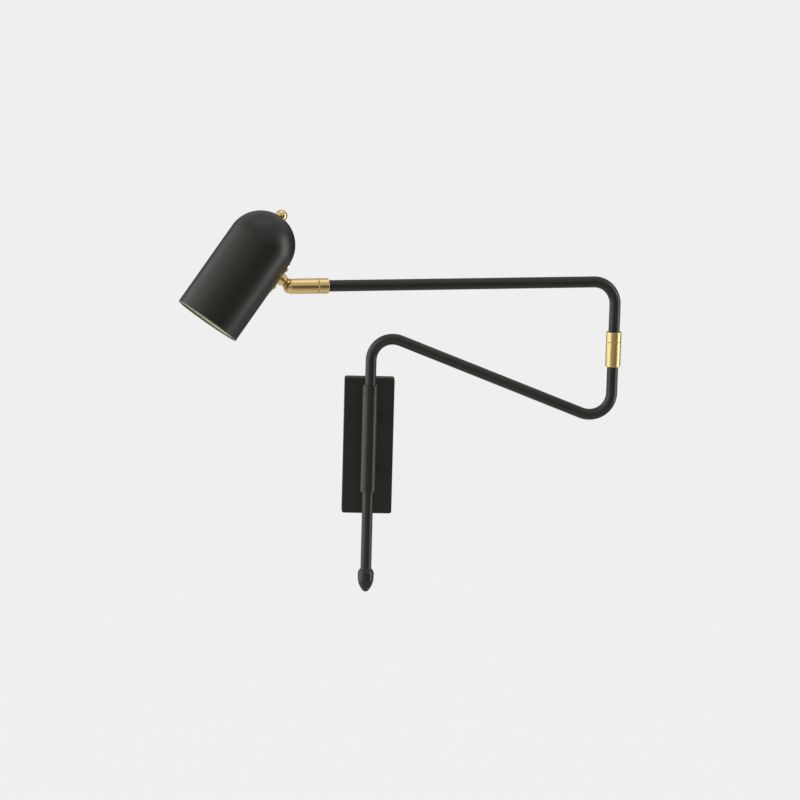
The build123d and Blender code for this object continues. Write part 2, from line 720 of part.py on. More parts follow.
# ================================================================== swivel
# Brass barrel with a round nose, slotted for the knuckle's tongue.
with BuildPart() as swivel_barrel:
    with BuildSketch(barrel_plane):
        with BuildLine():
            nose = CenterArc((0, 0), brass_radius, 0, 90)
            Line(nose @ 1, (-pivot_from_seam, brass_radius))
            Line((-pivot_from_seam, brass_radius), (-pivot_from_seam, 0))
            Line((-pivot_from_seam, 0), nose @ 0)
        make_face()
    revolve(axis=Axis(pivot, upper_dir))
    seam_rim = edges().filter_by(GeomType.CIRCLE).group_by(Axis(pivot, upper_dir))[0]
    fillet(seam_rim, brass_edge_round)
    add_tube(head_seam, spindle_radius + fixed, 0, -(spindle_depth + seat), mode=Mode.SUBTRACT)
    add_tube(head_seam, spindle_bore_radius, 0, -(pivot_from_seam - slot_behind_pivot / 2),
             mode=Mode.SUBTRACT)
    cut_pin_hole(head_pin_plane)
    # The tongue's slot is cut right through the nose, square at its bottom.
    with BuildSketch(barrel_plane.offset(-slot_width / 2)):
        with Locations((-slot_behind_pivot, 0)):
            Rectangle(slot_behind_pivot + 2 * brass_radius, 3 * brass_radius,
                      align=(Align.MIN, Align.CENTER))
    extrude(amount=slot_width, mode=Mode.SUBTRACT)
    # Counterbored hole for the tilt screw: its head side faces the wall, the other side is blind.
    add_tube(barrel_plane.offset(brass_radius), tilt_head_radius + thread_clearance, 0,
             -tilt_head_recess, mode=Mode.SUBTRACT)
    add_tube(barrel_plane.offset(brass_radius), tilt_screw_radius + fixed, 0,
             -(2 * brass_radius - tilt_screw_skin), mode=Mode.SUBTRACT)
swivel_barrel.part.label = "swivel_barrel"
export_step(swivel_barrel.part, "parts/swivel_barrel.step")

with BuildPart() as swivel_spindle:
    add_tube(head_seam.offset(-spindle_depth), spindle_radius, spindle_bore_radius,
             spindle_depth + spindle_rise)
swivel_spindle.part.label = "swivel_spindle"
export_step(swivel_spindle.part, "parts/swivel_spindle.step")

with BuildPart() as swivel_nut:
    add_tube(head_seam.offset(nut_height), joint_nut_radius, spindle_radius + fixed,
             joint_nut_thickness)
swivel_nut.part.label = "swivel_nut"
export_step(swivel_nut.part, "parts/swivel_nut.step")

with BuildPart() as swivel_washer:
    add_tube(head_seam, joint_washer_radius, spindle_radius + running, joint_washer - running)
swivel_washer.part.label = "swivel_washer"
export_step(swivel_washer.part, "parts/swivel_washer.step")

with BuildPart() as swivel_stop_pin:
    add_stop_pin(head_pin_plane)
swivel_stop_pin.part.label = "swivel_stop_pin"
export_step(swivel_stop_pin.part, "parts/swivel_stop_pin.step")

tilt_seat = brass_radius - tilt_head_recess
with BuildPart() as tilt_screw:
    add_screw(barrel_plane.offset(tilt_seat), tilt_head_radius, tilt_head_height, tilt_screw_radius,
              tilt_seat + brass_radius - tilt_screw_skin - seat)
tilt_screw.part.label = "tilt_screw"
export_step(tilt_screw.part, "parts/tilt_screw.step")

tilt_gap = (slot_width - tongue_thickness) / 2 - tilt_washer_thickness
with BuildPart() as tilt_washers:
    for face in (slot_width / 2 - tilt_washer_thickness - tilt_gap / 2,
                 -(slot_width / 2 - tilt_gap / 2)):
        add_tube(barrel_plane.offset(face), tilt_washer_radius, tilt_screw_radius + running,
                 tilt_washer_thickness)
tilt_washers.part.label = "tilt_washers"
export_step(tilt_washers.part, "parts/tilt_washers.step")

swivel_wire_length = pivot_from_seam - slot_behind_pivot - seat
with BuildPart() as swivel_wire:
    add_tube(head_seam, wire_radius, 0, -swivel_wire_length)
swivel_wire.part.label = "swivel_wire"
export_step(swivel_wire.part, "parts/swivel_wire.step")

# ================================================================== head
# Knuckle: a flat tongue, a stepped round boss and a hollow thread that goes through the shade.
thread_end = shade_axis_reach - shade_bore_radius + knuckle_nut_thickness + seat
boss_start = tongue_length
with BuildPart() as knuckle:
    with BuildSketch(head_plane.offset(-tongue_thickness / 2)):
        Circle(tongue_radius)
        Rectangle(tongue_length, 2 * tongue_radius, align=(Align.MIN, Align.CENTER))
    extrude(amount=tongue_thickness)
    add_tube(towards_pivot(shade_radius), boss_radius, 0,
             pivot_off_wall - boss_start - boss_step)
    add_tube(towards_pivot(shade_radius), boss_step_radius, 0, pivot_off_wall - boss_start)
    fillet(edges().filter_by(GeomType.CIRCLE).filter_by(
        lambda rim: abs(rim.radius - boss_radius) < same_radius).sort_by(Axis(pivot, -reach_dir))[-1],
        brass_edge_round)
    with BuildSketch(across_shade(0)):
        Circle(saddle_outer_radius + fixed)
    extrude(amount=apex_height, mode=Mode.SUBTRACT)
    thread_plane = towards_pivot(shade_axis_reach - thread_end)
    add_tube(thread_plane, knuckle_thread_radius, 0, thread_end - boss_start - boss_step)
    add_tube(head_plane.offset(-tongue_thickness), tilt_screw_radius + running, 0,
             2 * tongue_thickness, mode=Mode.SUBTRACT)
    # The lead's bore runs from the shade to a window cut across the tongue.
    add_tube(thread_plane, knuckle_bore_radius, 0, thread_end - boss_start, mode=Mode.SUBTRACT)
    with BuildSketch(head_plane.offset(-tongue_thickness)):
        with Locations((boss_start, 0)):
            Rectangle(tongue_window, 2 * (knuckle_bore_radius + thread_clearance),
                      align=(Align.MAX, Align.CENTER))
    extrude(amount=2 * tongue_thickness, mode=Mode.SUBTRACT)
knuckle.part.label = "knuckle"
export_step(knuckle.part, "parts/knuckle.step")

# Oval saddle plate, curved to lie on the shade's wall.
with BuildPart() as saddle_plate:
    with BuildSketch(towards_pivot(shade_radius / 2)):
        SlotOverall(saddle_length, saddle_width)
        with GridLocations(saddle_screw_spacing, 0, 2, 1):
            Circle(saddle_screw_radius + thread_clearance, mode=Mode.SUBTRACT)
        Circle(knuckle_thread_radius + thread_clearance, mode=Mode.SUBTRACT)
    extrude(amount=shade_radius)
    with BuildSketch(across_shade(0)):
        Circle(saddle_outer_radius)
        Circle(shade_radius + fixed, mode=Mode.SUBTRACT)
    extrude(amount=apex_height, mode=Mode.INTERSECT)
saddle_plate.part.label = "saddle_plate"
export_step(saddle_plate.part, "parts/saddle_plate.step")

saddle_nut_face = sqrt(shade_bore_radius ** 2 - (saddle_nut_across * hex_corner_per_flat) ** 2) - fixed
saddle_screw_length = saddle_outer_radius - saddle_nut_face + saddle_nut_thickness
with BuildPart() as saddle_screws:
    for side in (1, -1):
        with BuildPart(mode=Mode.PRIVATE) as one_saddle_screw:
            add_screw(towards_pivot(saddle_outer_radius + fixed, side * saddle_screw_spacing / 2),
                      small_head_radius, small_head_height, saddle_screw_radius,
                      saddle_screw_length)
        add(one_saddle_screw.part)
saddle_screws.part.label = "saddle_screws"
export_step(saddle_screws.part, "parts/saddle_screws.step")

with BuildPart() as saddle_nuts:
    for side in (1, -1):
        nut_plane = towards_pivot(saddle_nut_face, side * saddle_screw_spacing / 2)
        add_hex_nut(nut_plane, saddle_nut_across, saddle_screw_radius + fixed,
                    -saddle_nut_thickness)
saddle_nuts.part.label = "saddle_nuts"
export_step(saddle_nuts.part, "parts/saddle_nuts.step")

knuckle_nut_face = sqrt(shade_bore_radius ** 2 - (knuckle_nut_across * hex_corner_per_flat) ** 2) - fixed
with BuildPart() as knuckle_nut:
    add_hex_nut(towards_pivot(knuckle_nut_face), knuckle_nut_across, knuckle_thread_radius + fixed,
                -knuckle_nut_thickness)
knuckle_nut.part.label = "knuckle_nut"
export_step(knuckle_nut.part, "parts/knuckle_nut.step")

# Shade: a straight barrel closed by a half-ball, open at the mouth.
with BuildPart() as shade:
    with BuildSketch(shade_section):
        with BuildLine():
            outer_dome = CenterArc((0, shade_barrel_length), shade_radius, 0, 90)
            inner_dome = CenterArc((0, shade_barrel_length), shade_bore_radius, 0, 90)
            Line((shade_radius, 0), outer_dome @ 0)
            Line(outer_dome @ 1, inner_dome @ 1)
            Line(inner_dome @ 0, (shade_bore_radius, 0))
            Line((shade_bore_radius, 0), (shade_radius, 0))
        make_face()
    revolve(axis=shade_axis)
    round_outer_edges(shade_radius, shade_rim_round)
    add_tube(across_shade(shade_barrel_length), switch_neck_radius + thread_clearance, 0,
             2 * shade_radius, mode=Mode.SUBTRACT)
    add_tube(towards_pivot(shade_radius / 2), knuckle_thread_radius + thread_clearance, 0,
             shade_radius, mode=Mode.SUBTRACT)
    for side in (1, -1):
        add_tube(towards_pivot(shade_radius / 2, side * saddle_screw_spacing / 2),
                 saddle_screw_radius + thread_clearance, 0, shade_radius, mode=Mode.SUBTRACT)
shade.part.label = "shade"
export_step(shade.part, "parts/shade.step")

# Strap that hangs under the dome and holds the lamp holder between its legs.
strap_top = apex_height - shade_wall - strap_below_apex
lamp_base = lamp_recess + lamp_length
holder_bottom = lamp_base + holder_gap
holder_top = holder_bottom + holder_height
strap_reach = holder_radius + seat + strap_thickness
holder_screw_height = holder_top - strap_overlap / 2
with BuildPart() as holder_strap:
    add_box(across_shade(holder_top - strap_overlap), strap_width, 2 * strap_reach,
            strap_top - holder_top + strap_overlap)
    add_box(across_shade(holder_top - strap_overlap), 2 * strap_width,
            2 * (strap_reach - strap_thickness),
            strap_top - strap_thickness - holder_top + strap_overlap, mode=Mode.SUBTRACT)
    add_tube(across_shade(strap_top - strap_thickness), switch_neck_radius + thread_clearance, 0,
             strap_thickness, mode=Mode.SUBTRACT)
    for side in (1, -1):
        hole_plane = Plane(origin=mouth + shade_dir * holder_screw_height, z_dir=hinge_dir * side)
        add_tube(hole_plane, holder_screw_radius + thread_clearance, 0, 2 * strap_reach,
                 mode=Mode.SUBTRACT)
holder_strap.part.label = "holder_strap"
export_step(holder_strap.part, "parts/holder_strap.step")

# Ceramic lamp holder with two sockets for the lamp's pins.
with BuildPart() as lamp_holder:
    add_tube(across_shade(holder_bottom), holder_radius, 0, holder_height)
    fillet(faces().sort_by(Axis(mouth, shade_dir))[0].edges(), brass_edge_round)
    with BuildSketch(across_shade(holder_bottom)):
        with GridLocations(0, lamp_pin_spacing, 1, 2):
            Circle(lamp_pin_radius + thread_clearance)
    extrude(amount=lamp_pin_length + seat, mode=Mode.SUBTRACT)
    for side in (1, -1):
        side_point = mouth + shade_dir * holder_screw_height + hinge_dir * side * holder_radius
        side_plane = Plane(origin=side_point, z_dir=hinge_dir * side)
        add_tube(side_plane, holder_screw_radius + fixed, 0, -holder_screw_length,
                 mode=Mode.SUBTRACT)
    with BuildSketch(across_shade(holder_top)):
        with GridLocations(0, lamp_pin_spacing, 1, 2):
            Circle(lead_radius + fixed)
    extrude(amount=-strap_overlap / 2, mode=Mode.SUBTRACT)
lamp_holder.part.label = "lamp_holder"
export_step(lamp_holder.part, "parts/lamp_holder.step")

with BuildPart() as holder_screws:
    for side in (1, -1):
        strap_face = mouth + shade_dir * holder_screw_height + hinge_dir * side * strap_reach
        with BuildPart(mode=Mode.PRIVATE) as one_holder_screw:
            add_screw(Plane(origin=strap_face, z_dir=hinge_dir * side), small_head_radius,
                      small_head_height, holder_screw_radius,
                      strap_thickness + holder_screw_length)
        add(one_holder_screw.part)
holder_screws.part.label = "holder_screws"
export_step(holder_screws.part, "parts/holder_screws.step")

# Reflector lamp: base block, flared body and a recess for the lens.
rim_height = lamp_recess + lamp_rim_length
base_height = lamp_base - lamp_base_length
with BuildPart() as lamp_body:
    with BuildSketch(shade_section):
        with BuildLine():
            Polyline((0, lamp_recess), (lamp_face_radius, lamp_recess), (lamp_face_radius, rim_height),
                     (lamp_shoulder_radius, base_height), (lamp_neck_radius, base_height),
                     (lamp_neck_radius, lamp_base), (0, lamp_base), close=True)
        make_face()
    revolve(axis=shade_axis)
    add_tube(across_shade(lamp_recess), lens_radius + fixed, 0,
             lens_recess + lens_thickness + fixed, mode=Mode.SUBTRACT)
    round_outer_edges(lamp_face_radius, brass_edge_round)
lamp_body.part.label = "lamp_body"
export_step(lamp_body.part, "parts/lamp_body.step")

with BuildPart() as lamp_lens:
    add_tube(across_shade(lamp_recess + lens_recess), lens_radius, 0, lens_thickness)
lamp_lens.part.label = "lamp_lens"
export_step(lamp_lens.part, "parts/lamp_lens.step")

with BuildPart() as lamp_pins:
    with BuildSketch(across_shade(lamp_base)):
        with GridLocations(0, lamp_pin_spacing, 1, 2):
            Circle(lamp_pin_radius)
    extrude(amount=lamp_pin_length)
lamp_pins.part.label = "lamp_pins"
export_step(lamp_pins.part, "parts/lamp_pins.step")

# Rotary switch under the strap, its hollow neck goes through the dome.
switch_top = strap_top - strap_thickness
neck_top = apex_height + switch_neck_rise
with BuildPart() as switch_body:
    add_tube(across_shade(switch_top), switch_radius, 0, -switch_height)
    fillet(faces().sort_by(Axis(mouth, shade_dir))[0].edges(), brass_edge_round)
    add_tube(across_shade(switch_top), switch_neck_radius, 0, neck_top - switch_top)
    add_tube(across_shade(neck_top), shaft_radius + running, 0,
             -(neck_top - switch_top + shaft_depth + seat), mode=Mode.SUBTRACT)
switch_body.part.label = "switch_body"
export_step(switch_body.part, "parts/switch_body.step")

# Turned spacer between the strap and the dome.
spacer_height = shade_barrel_length + sqrt(shade_bore_radius ** 2 - spacer_radius ** 2) - strap_top
with BuildPart() as dome_spacer:
    add_tube(across_shade(strap_top), spacer_radius, switch_neck_radius + thread_clearance,
             spacer_height - fixed)
dome_spacer.part.label = "dome_spacer"
export_step(dome_spacer.part, "parts/dome_spacer.step")

nut_seat_radius = switch_neck_radius + thread_clearance
nut_seat = shade_barrel_length + sqrt(shade_radius ** 2 - nut_seat_radius ** 2) + fixed
with BuildPart() as switch_nut:
    add_tube(across_shade(nut_seat), switch_nut_radius, switch_neck_radius + fixed,
             switch_nut_thickness)
switch_nut.part.label = "switch_nut"
export_step(switch_nut.part, "parts/switch_nut.step")

# Leads inside the shade: one from the knuckle to the switch, two from the switch to the holder.
wire_in_shade = switch_top - switch_height / 2 - shade_knuckle_height
switch_side_reach = shade_axis_reach - switch_radius - seat
with BuildPart() as head_wire:
    with BuildLine(head_plane) as head_wire_path:
        FilletPolyline((boss_start, 0), (thread_end + wire_bend_radius + wire_radius, 0),
                       (thread_end + wire_bend_radius + wire_radius, wire_in_shade),
                       (switch_side_reach, wire_in_shade), radius=wire_bend_radius)
    with BuildSketch(Plane(origin=head_wire_path.line @ 0, z_dir=head_wire_path.line % 0)):
        Circle(wire_radius)
    sweep()
head_wire.part.label = "head_wire"
export_step(head_wire.part, "parts/head_wire.step")

switch_bottom = switch_top - switch_height
with BuildPart() as lamp_leads:
    with BuildSketch(across_shade(holder_top - strap_overlap / 2)):
        with GridLocations(0, lamp_pin_spacing, 1, 2):
            Circle(lead_radius)
    extrude(amount=switch_bottom - holder_top + strap_overlap / 2)
lamp_leads.part.label = "lamp_leads"
export_step(lamp_leads.part, "parts/lamp_leads.step")

# ================================================================== knob
# Ball knob, cut flat below and hollowed to cover the switch's nut.
knob_centre = apex_height + knob_centre_rise
knob_bottom = apex_height + knob_gap
shaft_top = knob_bottom + knob_recess_depth + shaft_grip
with BuildPart() as switch_knob:
    with BuildSketch(shade_section):
        with Locations((0, knob_centre)):
            Circle(knob_radius)
        with Locations((0, knob_bottom)):
            Rectangle(knob_radius * 2, knob_radius * 4, align=(Align.MIN, Align.MIN), mode=Mode.INTERSECT)
    revolve(axis=shade_axis)
    add_tube(across_shade(knob_bottom), knob_recess_radius, 0, knob_recess_depth, mode=Mode.SUBTRACT)
    add_tube(across_shade(knob_bottom), shaft_radius + fixed, 0, shaft_top - knob_bottom,
             mode=Mode.SUBTRACT)
switch_knob.part.label = "switch_knob"
export_step(switch_knob.part, "parts/switch_knob.step")

with BuildPart() as switch_shaft:
    add_tube(across_shade(switch_top - shaft_depth), shaft_radius, 0,
             shaft_top - switch_top + shaft_depth)
switch_shaft.part.label = "switch_shaft"
export_step(switch_shaft.part, "parts/switch_shaft.step")
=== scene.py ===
"""Looks of an articulating wall lamp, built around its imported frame.

The frame gives every place: its joints carry the axes and its node boxes carry the heights.
Each sub-assembly is a class with its own sizes. All lengths are metres, written with MM.
"""
import json
import logging
import math
from dataclasses import dataclass, field
from enum import Enum
from typing import Any, Callable, Iterable, Sequence

import bmesh
import bpy
from mathutils import Matrix, Vector


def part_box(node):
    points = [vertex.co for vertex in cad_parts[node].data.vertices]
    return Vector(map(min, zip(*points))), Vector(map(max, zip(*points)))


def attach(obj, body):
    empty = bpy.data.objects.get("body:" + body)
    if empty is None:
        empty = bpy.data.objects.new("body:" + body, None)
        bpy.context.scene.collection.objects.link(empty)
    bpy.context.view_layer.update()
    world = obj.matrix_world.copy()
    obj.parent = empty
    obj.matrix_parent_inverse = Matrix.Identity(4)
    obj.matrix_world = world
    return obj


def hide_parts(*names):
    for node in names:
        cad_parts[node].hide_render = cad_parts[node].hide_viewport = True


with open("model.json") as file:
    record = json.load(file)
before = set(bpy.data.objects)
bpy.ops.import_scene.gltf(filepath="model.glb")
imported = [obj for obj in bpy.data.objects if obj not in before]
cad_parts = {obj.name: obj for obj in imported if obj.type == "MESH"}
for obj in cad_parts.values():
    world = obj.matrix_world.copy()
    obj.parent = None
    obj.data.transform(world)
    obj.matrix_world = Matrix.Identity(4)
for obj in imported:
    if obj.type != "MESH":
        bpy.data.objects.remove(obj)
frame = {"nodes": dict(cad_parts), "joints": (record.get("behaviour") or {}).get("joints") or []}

Colour = tuple[float, float, float]
Span = tuple[float, float]

MM = 0.001
UP = Vector((0.0, 0.0, 1.0))
WHITE = (1.0, 1.0, 1.0, 1.0)
TINY = 1e-7
SHARP_ANGLE = math.radians(32)
CLEARANCE = 0.02 * MM  # between a tube and what slides over it
SCREW_HOLE = 1.52 * MM  # radius of the holes for set screws
SCREW_HOLE_SPAN = (-2 * MM, 4 * MM)  # where such a hole ends, from its screw's middle
LONGEST_TANGENT = 0.45  # of a profile's side, for the rounding at one of its ends

log = logging.getLogger("wall_lamp")
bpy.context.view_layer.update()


class Body(Enum):
    """The moving groups of the lamp."""

    WALL_MOUNT = "wall_mount"
    LOWER_ARM = "lower_arm"
    UPPER_ARM = "upper_arm"
    SWIVEL = "swivel"
    HEAD = "head"
    KNOB = "knob"


class Slot(Enum):
    """The record's material slots of the pieces that are made here."""

    BLACK_METAL = "black_metal"
    SHADE_PAINT = "shade_paint"
    BRASS = "brass"
    LENS_GLASS = "lens_glass"


def rgba(colour: Colour) -> tuple[float, float, float, float]:
    """An opaque colour."""
    return (*colour, 1.0)


def turns(steps: int) -> list[float]:
    """Evenly spaced angles round a circle."""
    return [2 * math.pi * i / steps for i in range(steps)]


def middle_of(node: str) -> Vector:
    """The middle of a node's box."""
    low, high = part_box(node)
    return (low + high) / 2


# ---------------------------------------------------------------------------- places
@dataclass(frozen=True)
class Axes:
    """A right-handed local frame that places a piece in the lamp's own frame."""

    origin: Vector
    x: Vector
    y: Vector
    z: Vector

    @classmethod
    def along(cls, origin: Vector, z: Vector, x_hint: Vector) -> "Axes":
        """Frame whose z axis is given and whose x axis lies nearest to a hint.

        Args:
            origin: The frame's origin.
            z: The direction of its z axis.
            x_hint: A direction that isn't parallel to z.

        Returns:
            The frame.
        """
        z = z.normalized()
        x = (x_hint - z * x_hint.dot(z)).normalized()
        return cls(origin.copy(), x, z.cross(x), z)

    @property
    def matrix(self) -> Matrix:
        """The frame as a 4 by 4 matrix."""
        turned = Matrix((self.x, self.y, self.z)).transposed().to_4x4()
        return Matrix.Translation(self.origin) @ turned

    def at(self, x: float = 0.0, y: float = 0.0, z: float = 0.0) -> Vector:
        """A local point as a point of the lamp's frame."""
        return self.origin + self.x * x + self.y * y + self.z * z

    def moved(self, x: float = 0.0, y: float = 0.0, z: float = 0.0) -> "Axes":
        """The same directions at another local point."""
        return Axes(self.at(x, y, z), self.x, self.y, self.z)


@dataclass(frozen=True)
class Upright:
    """A round piece that stands upright, as its node's box gives it."""

    foot: Vector
    radius: float
    length: float

    @classmethod
    def of(cls, node: str) -> "Upright":
        """Read the round piece that fills a node's box.

        Args:
            node: The node.

        Returns:
            The piece's place and size.
        """
        low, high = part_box(node)
        middle = (low + high) / 2
        return cls(Vector((middle.x, middle.y, low.z)), (high.x - low.x) / 2, high.z - low.z)

    def axes(self, x_hint: Vector) -> Axes:
        """A frame at the piece's foot, with z up."""
        return Axes.along(self.foot, UP, x_hint)


class Linkage:
    """The lamp's joint axes, read from the frame."""

    def __init__(self, joints: Sequence[dict[str, Any]]) -> None:
        """Read the places and directions of the five joints.

        Args:
            joints: The frame's joints.
        """
        place = {joint["name"]: Vector(joint["pos_m"]) for joint in joints}
        axis = {joint["name"]: Vector(joint["axis"]).normalized() for joint in joints}
        self.shoulder = place["shoulder_swing"]
        self.elbow = place["elbow_swing"]
        self.head_seam = place["head_roll"]
        self.pivot = place["head_tilt"]
        self.apex = place["switch_turn"]
        self.upper_dir = axis["head_roll"]
        self.hinge_dir = axis["head_tilt"]
        self.shade_dir = axis["switch_turn"]
        self.reach_dir = self.shade_dir.cross(self.hinge_dir)
        level_run = (self.elbow - self.shoulder) * Vector((1.0, 1.0, 0.0))
        self.lower_reach = level_run.length
        self.lower_dir = level_run.normalized()

    def lower_point(self, reach: float, height: float) -> Vector:
        """A point in the lower arm's upright plane."""
        return self._over(self.shoulder) + self.lower_dir * reach + UP * height

    def upper_point(self, reach: float, height: float) -> Vector:
        """A point in the upper arm's upright plane, measured from the elbow."""
        return self._over(self.elbow) + self.upper_dir * reach + UP * height

    @staticmethod
    def _over(place: Vector) -> Vector:
        """A place brought down to height zero."""
        return Vector((place.x, place.y, 0.0))


# ---------------------------------------------------------------------------- node benches
NodeValue = Any


@dataclass(frozen=True)
class Signal:
    """One output socket, usable in Python arithmetic."""

    bench: "Bench"
    socket: bpy.types.NodeSocket

    def _math(self, operation: str, *values: NodeValue) -> "Signal":
        """Join values with a Math node."""
        return self.bench.node(self.bench.MATH, {"operation": operation}, dict(enumerate(values)))

    def __add__(self, other: NodeValue) -> "Signal":
        """Sum with a value or a signal."""
        return self._math("ADD", self, other)

    def __radd__(self, other: NodeValue) -> "Signal":
        """Sum with a value on the left."""
        return self._math("ADD", other, self)

    def __sub__(self, other: NodeValue) -> "Signal":
        """Difference with a value or a signal."""
        return self._math("SUBTRACT", self, other)

    def __rsub__(self, other: NodeValue) -> "Signal":
        """Difference with a value on the left."""
        return self._math("SUBTRACT", other, self)

    def __mul__(self, other: NodeValue) -> "Signal":
        """Product with a value or a signal."""
        return self._math("MULTIPLY", self, other)

    def __rmul__(self, other: NodeValue) -> "Signal":
        """Product with a value on the left."""
        return self._math("MULTIPLY", other, self)

    def __truediv__(self, other: NodeValue) -> "Signal":
        """Quotient with a value or a signal."""
        return self._math("DIVIDE", self, other)

    def __rtruediv__(self, other: NodeValue) -> "Signal":
        """Quotient with a value on the left."""
        return self._math("DIVIDE", other, self)

    def __pow__(self, other: NodeValue) -> "Signal":
        """Power of this signal."""
        return self._math("POWER", self, other)

    def __gt__(self, other: NodeValue) -> "Signal":
        """1 where this signal is greater than the other, 0 elsewhere."""
        return self._math("GREATER_THAN", self, other)

    def clamped(self) -> "Signal":
        """This signal held between 0 and 1."""
        return self.bench.node(self.bench.MATH, {"operation": "ADD", "use_clamp": True},
                               {0: self, 1: 0.0})


class Bench:
    """Adds nodes to one tree. Every node comes from its node method."""

    MATH = "ShaderNodeMath"

    def __init__(self, tree: bpy.types.NodeTree) -> None:
        """Work on a tree."""
        self.tree = tree

    def node(self, kind: str, settings: dict[str, Any] | None = None,
             inputs: dict[str | int, NodeValue] | None = None, output: str | int = 0) -> Signal:
        """Add a node of any type.

        Args:
            kind: The node's type.
            settings: Its properties, set first.
            inputs: Values or signals for its sockets, by name or index.
            output: The output socket that is returned.

        Returns:
            The output socket as a signal.
        """
        made = self.tree.nodes.new(kind)
        for name, value in (settings or {}).items():
            setattr(made, name, value)
        for key, value in (inputs or {}).items():
            socket = self._socket(made.inputs, key)
            for one in value if isinstance(value, list) else [value]:
                self._feed(socket, one)
        return Signal(self, self._socket(made.outputs, output))

    def _feed(self, socket: bpy.types.NodeSocket, value: NodeValue) -> None:
        """Link a signal to a socket, or set its value."""
        if isinstance(value, Signal):
            self.tree.links.new(value.socket, socket)
        else:
            socket.default_value = value

    @staticmethod
    def _socket(sockets: Any, key: str | int) -> bpy.types.NodeSocket:
        """Find a socket.

        Args:
            sockets: A node's inputs or outputs.
            key: The socket's index, identifier or name.

        Returns:
            The socket.
        """
        if isinstance(key, int):
            return sockets[key]
        by_identifier = [one for one in sockets if one.identifier == key]
        return by_identifier[0] if by_identifier else sockets[key]

    def end(self, kind: str, socket: str, signal: Signal) -> None:
        """Feed a signal to a new node that closes the tree."""
        self.tree.links.new(signal.socket, self.tree.nodes.new(kind).inputs[socket])

    def split(self, vector: NodeValue) -> tuple[Signal, ...]:
        """The three numbers of a vector."""
        parts = self.node("ShaderNodeSeparateXYZ", None, {"Vector": vector}).socket.node.outputs
        return tuple(Signal(self, parts[label]) for label in "XYZ")

    def ease(self, signal: Signal, span: Span, first: NodeValue = 0.0,
             last: NodeValue = 1.0) -> Signal:
        """Go smoothly from one value to another while a signal crosses a span."""
        return self.node("ShaderNodeMapRange", {"interpolation_type": "SMOOTHSTEP"},
                         {"Value": signal, "From Min": span[0], "From Max": span[1],
                          "To Min": first, "To Max": last})


class Paint(Bench):
    """A material's tree, with the few patterns that the finishes share."""

    def __init__(self, name: str) -> None:
        """Start a material that holds one surface shader.

        Args:
            name: The material's name.
        """
        self.material = bpy.data.materials.new(name)
        self.material.use_nodes = True
        super().__init__(self.material.node_tree)
        self.surface = self.tree.nodes["Principled BSDF"]

    @property
    def place(self) -> Signal:
        """Where the surface is, in the lamp's frame."""
        return self.node("ShaderNodeTexCoord", output="Object")

    def attribute(self, name: str) -> Signal:
        """A number that the mesh carries on its points."""
        return self.node("ShaderNodeAttribute", {"attribute_name": name}, output="Fac")

    def noise(self, grain: float, detail: float = 2.0) -> Signal:
        """Noise with grains of a size, from 0 to 1."""
        return self.node("ShaderNodeTexNoise", {"noise_dimensions": "3D"},
                         {"Vector": self.place, "Scale": 1.0 / grain, "Detail": detail})

    def rings(self, axis: Vector, pitch: float, detail: float = 3.0) -> Signal:
        """Noise that changes only along an axis, as a lathe leaves it."""
        along = self.node("ShaderNodeVectorMath", {"operation": "DOT_PRODUCT"},
                          {0: self.place, 1: tuple(axis)}, "Value")
        return self.node("ShaderNodeTexNoise", {"noise_dimensions": "1D"},
                         {"W": along / pitch, "Scale": 1.0, "Detail": detail})

    @staticmethod
    def swing(noise: Signal, depth: float) -> Signal:
        """A noise as a change about zero."""
        return (noise - 0.5) * depth

    def spread(self, signal: Signal, span: Span, result: Span = (0.0, 1.0)) -> Signal:
        """Map a span of a signal to another, held at its ends."""
        return self.node("ShaderNodeMapRange", {"clamp": True},
                         {"Value": signal, "From Min": span[0], "From Max": span[1],
                          "To Min": result[0], "To Max": result[1]})

    def blend(self, share: Signal, first: NodeValue, second: NodeValue) -> Signal:
        """Colour between two, by a share from 0 to 1."""
        return self.node("ShaderNodeMix", {"data_type": "RGBA"},
                         {"Factor_Float": share, "A_Color": first, "B_Color": second},
                         "Result_Color")

    def bump(self, *layers: tuple[Signal, float]) -> Signal:
        """Add fine relief.

        Args:
            *layers: Heights from 0 to 1, each with its depth in metres.

        Returns:
            The bent normal.
        """
        total = layers[0][0] * layers[0][1]
        for height, depth in layers[1:]:
            total = total + height * depth
        return self.node("ShaderNodeBump", None, {"Strength": 1.0, "Distance": 1.0, "Height": total})

    def finish(self, **sockets: NodeValue) -> bpy.types.Material:
        """Feed the surface shader.

        Args:
            **sockets: Values or signals by socket name, with underscores for spaces.

        Returns:
            The material.
        """
        for name, value in sockets.items():
            self._feed(self.surface.inputs[name.replace("_", " ")], value)
        return self.material

    def glow(self, strength: float) -> Signal:
        """A shader that shines white."""
        return self.node("ShaderNodeEmission", None, {"Color": WHITE, "Strength": strength})

    def mix(self, share: Signal, first: Signal, second: Signal) -> Signal:
        """A shader between two, by a share from 0 to 1."""
        return self.node("ShaderNodeMixShader", None, {"Fac": share, 1: first, 2: second})


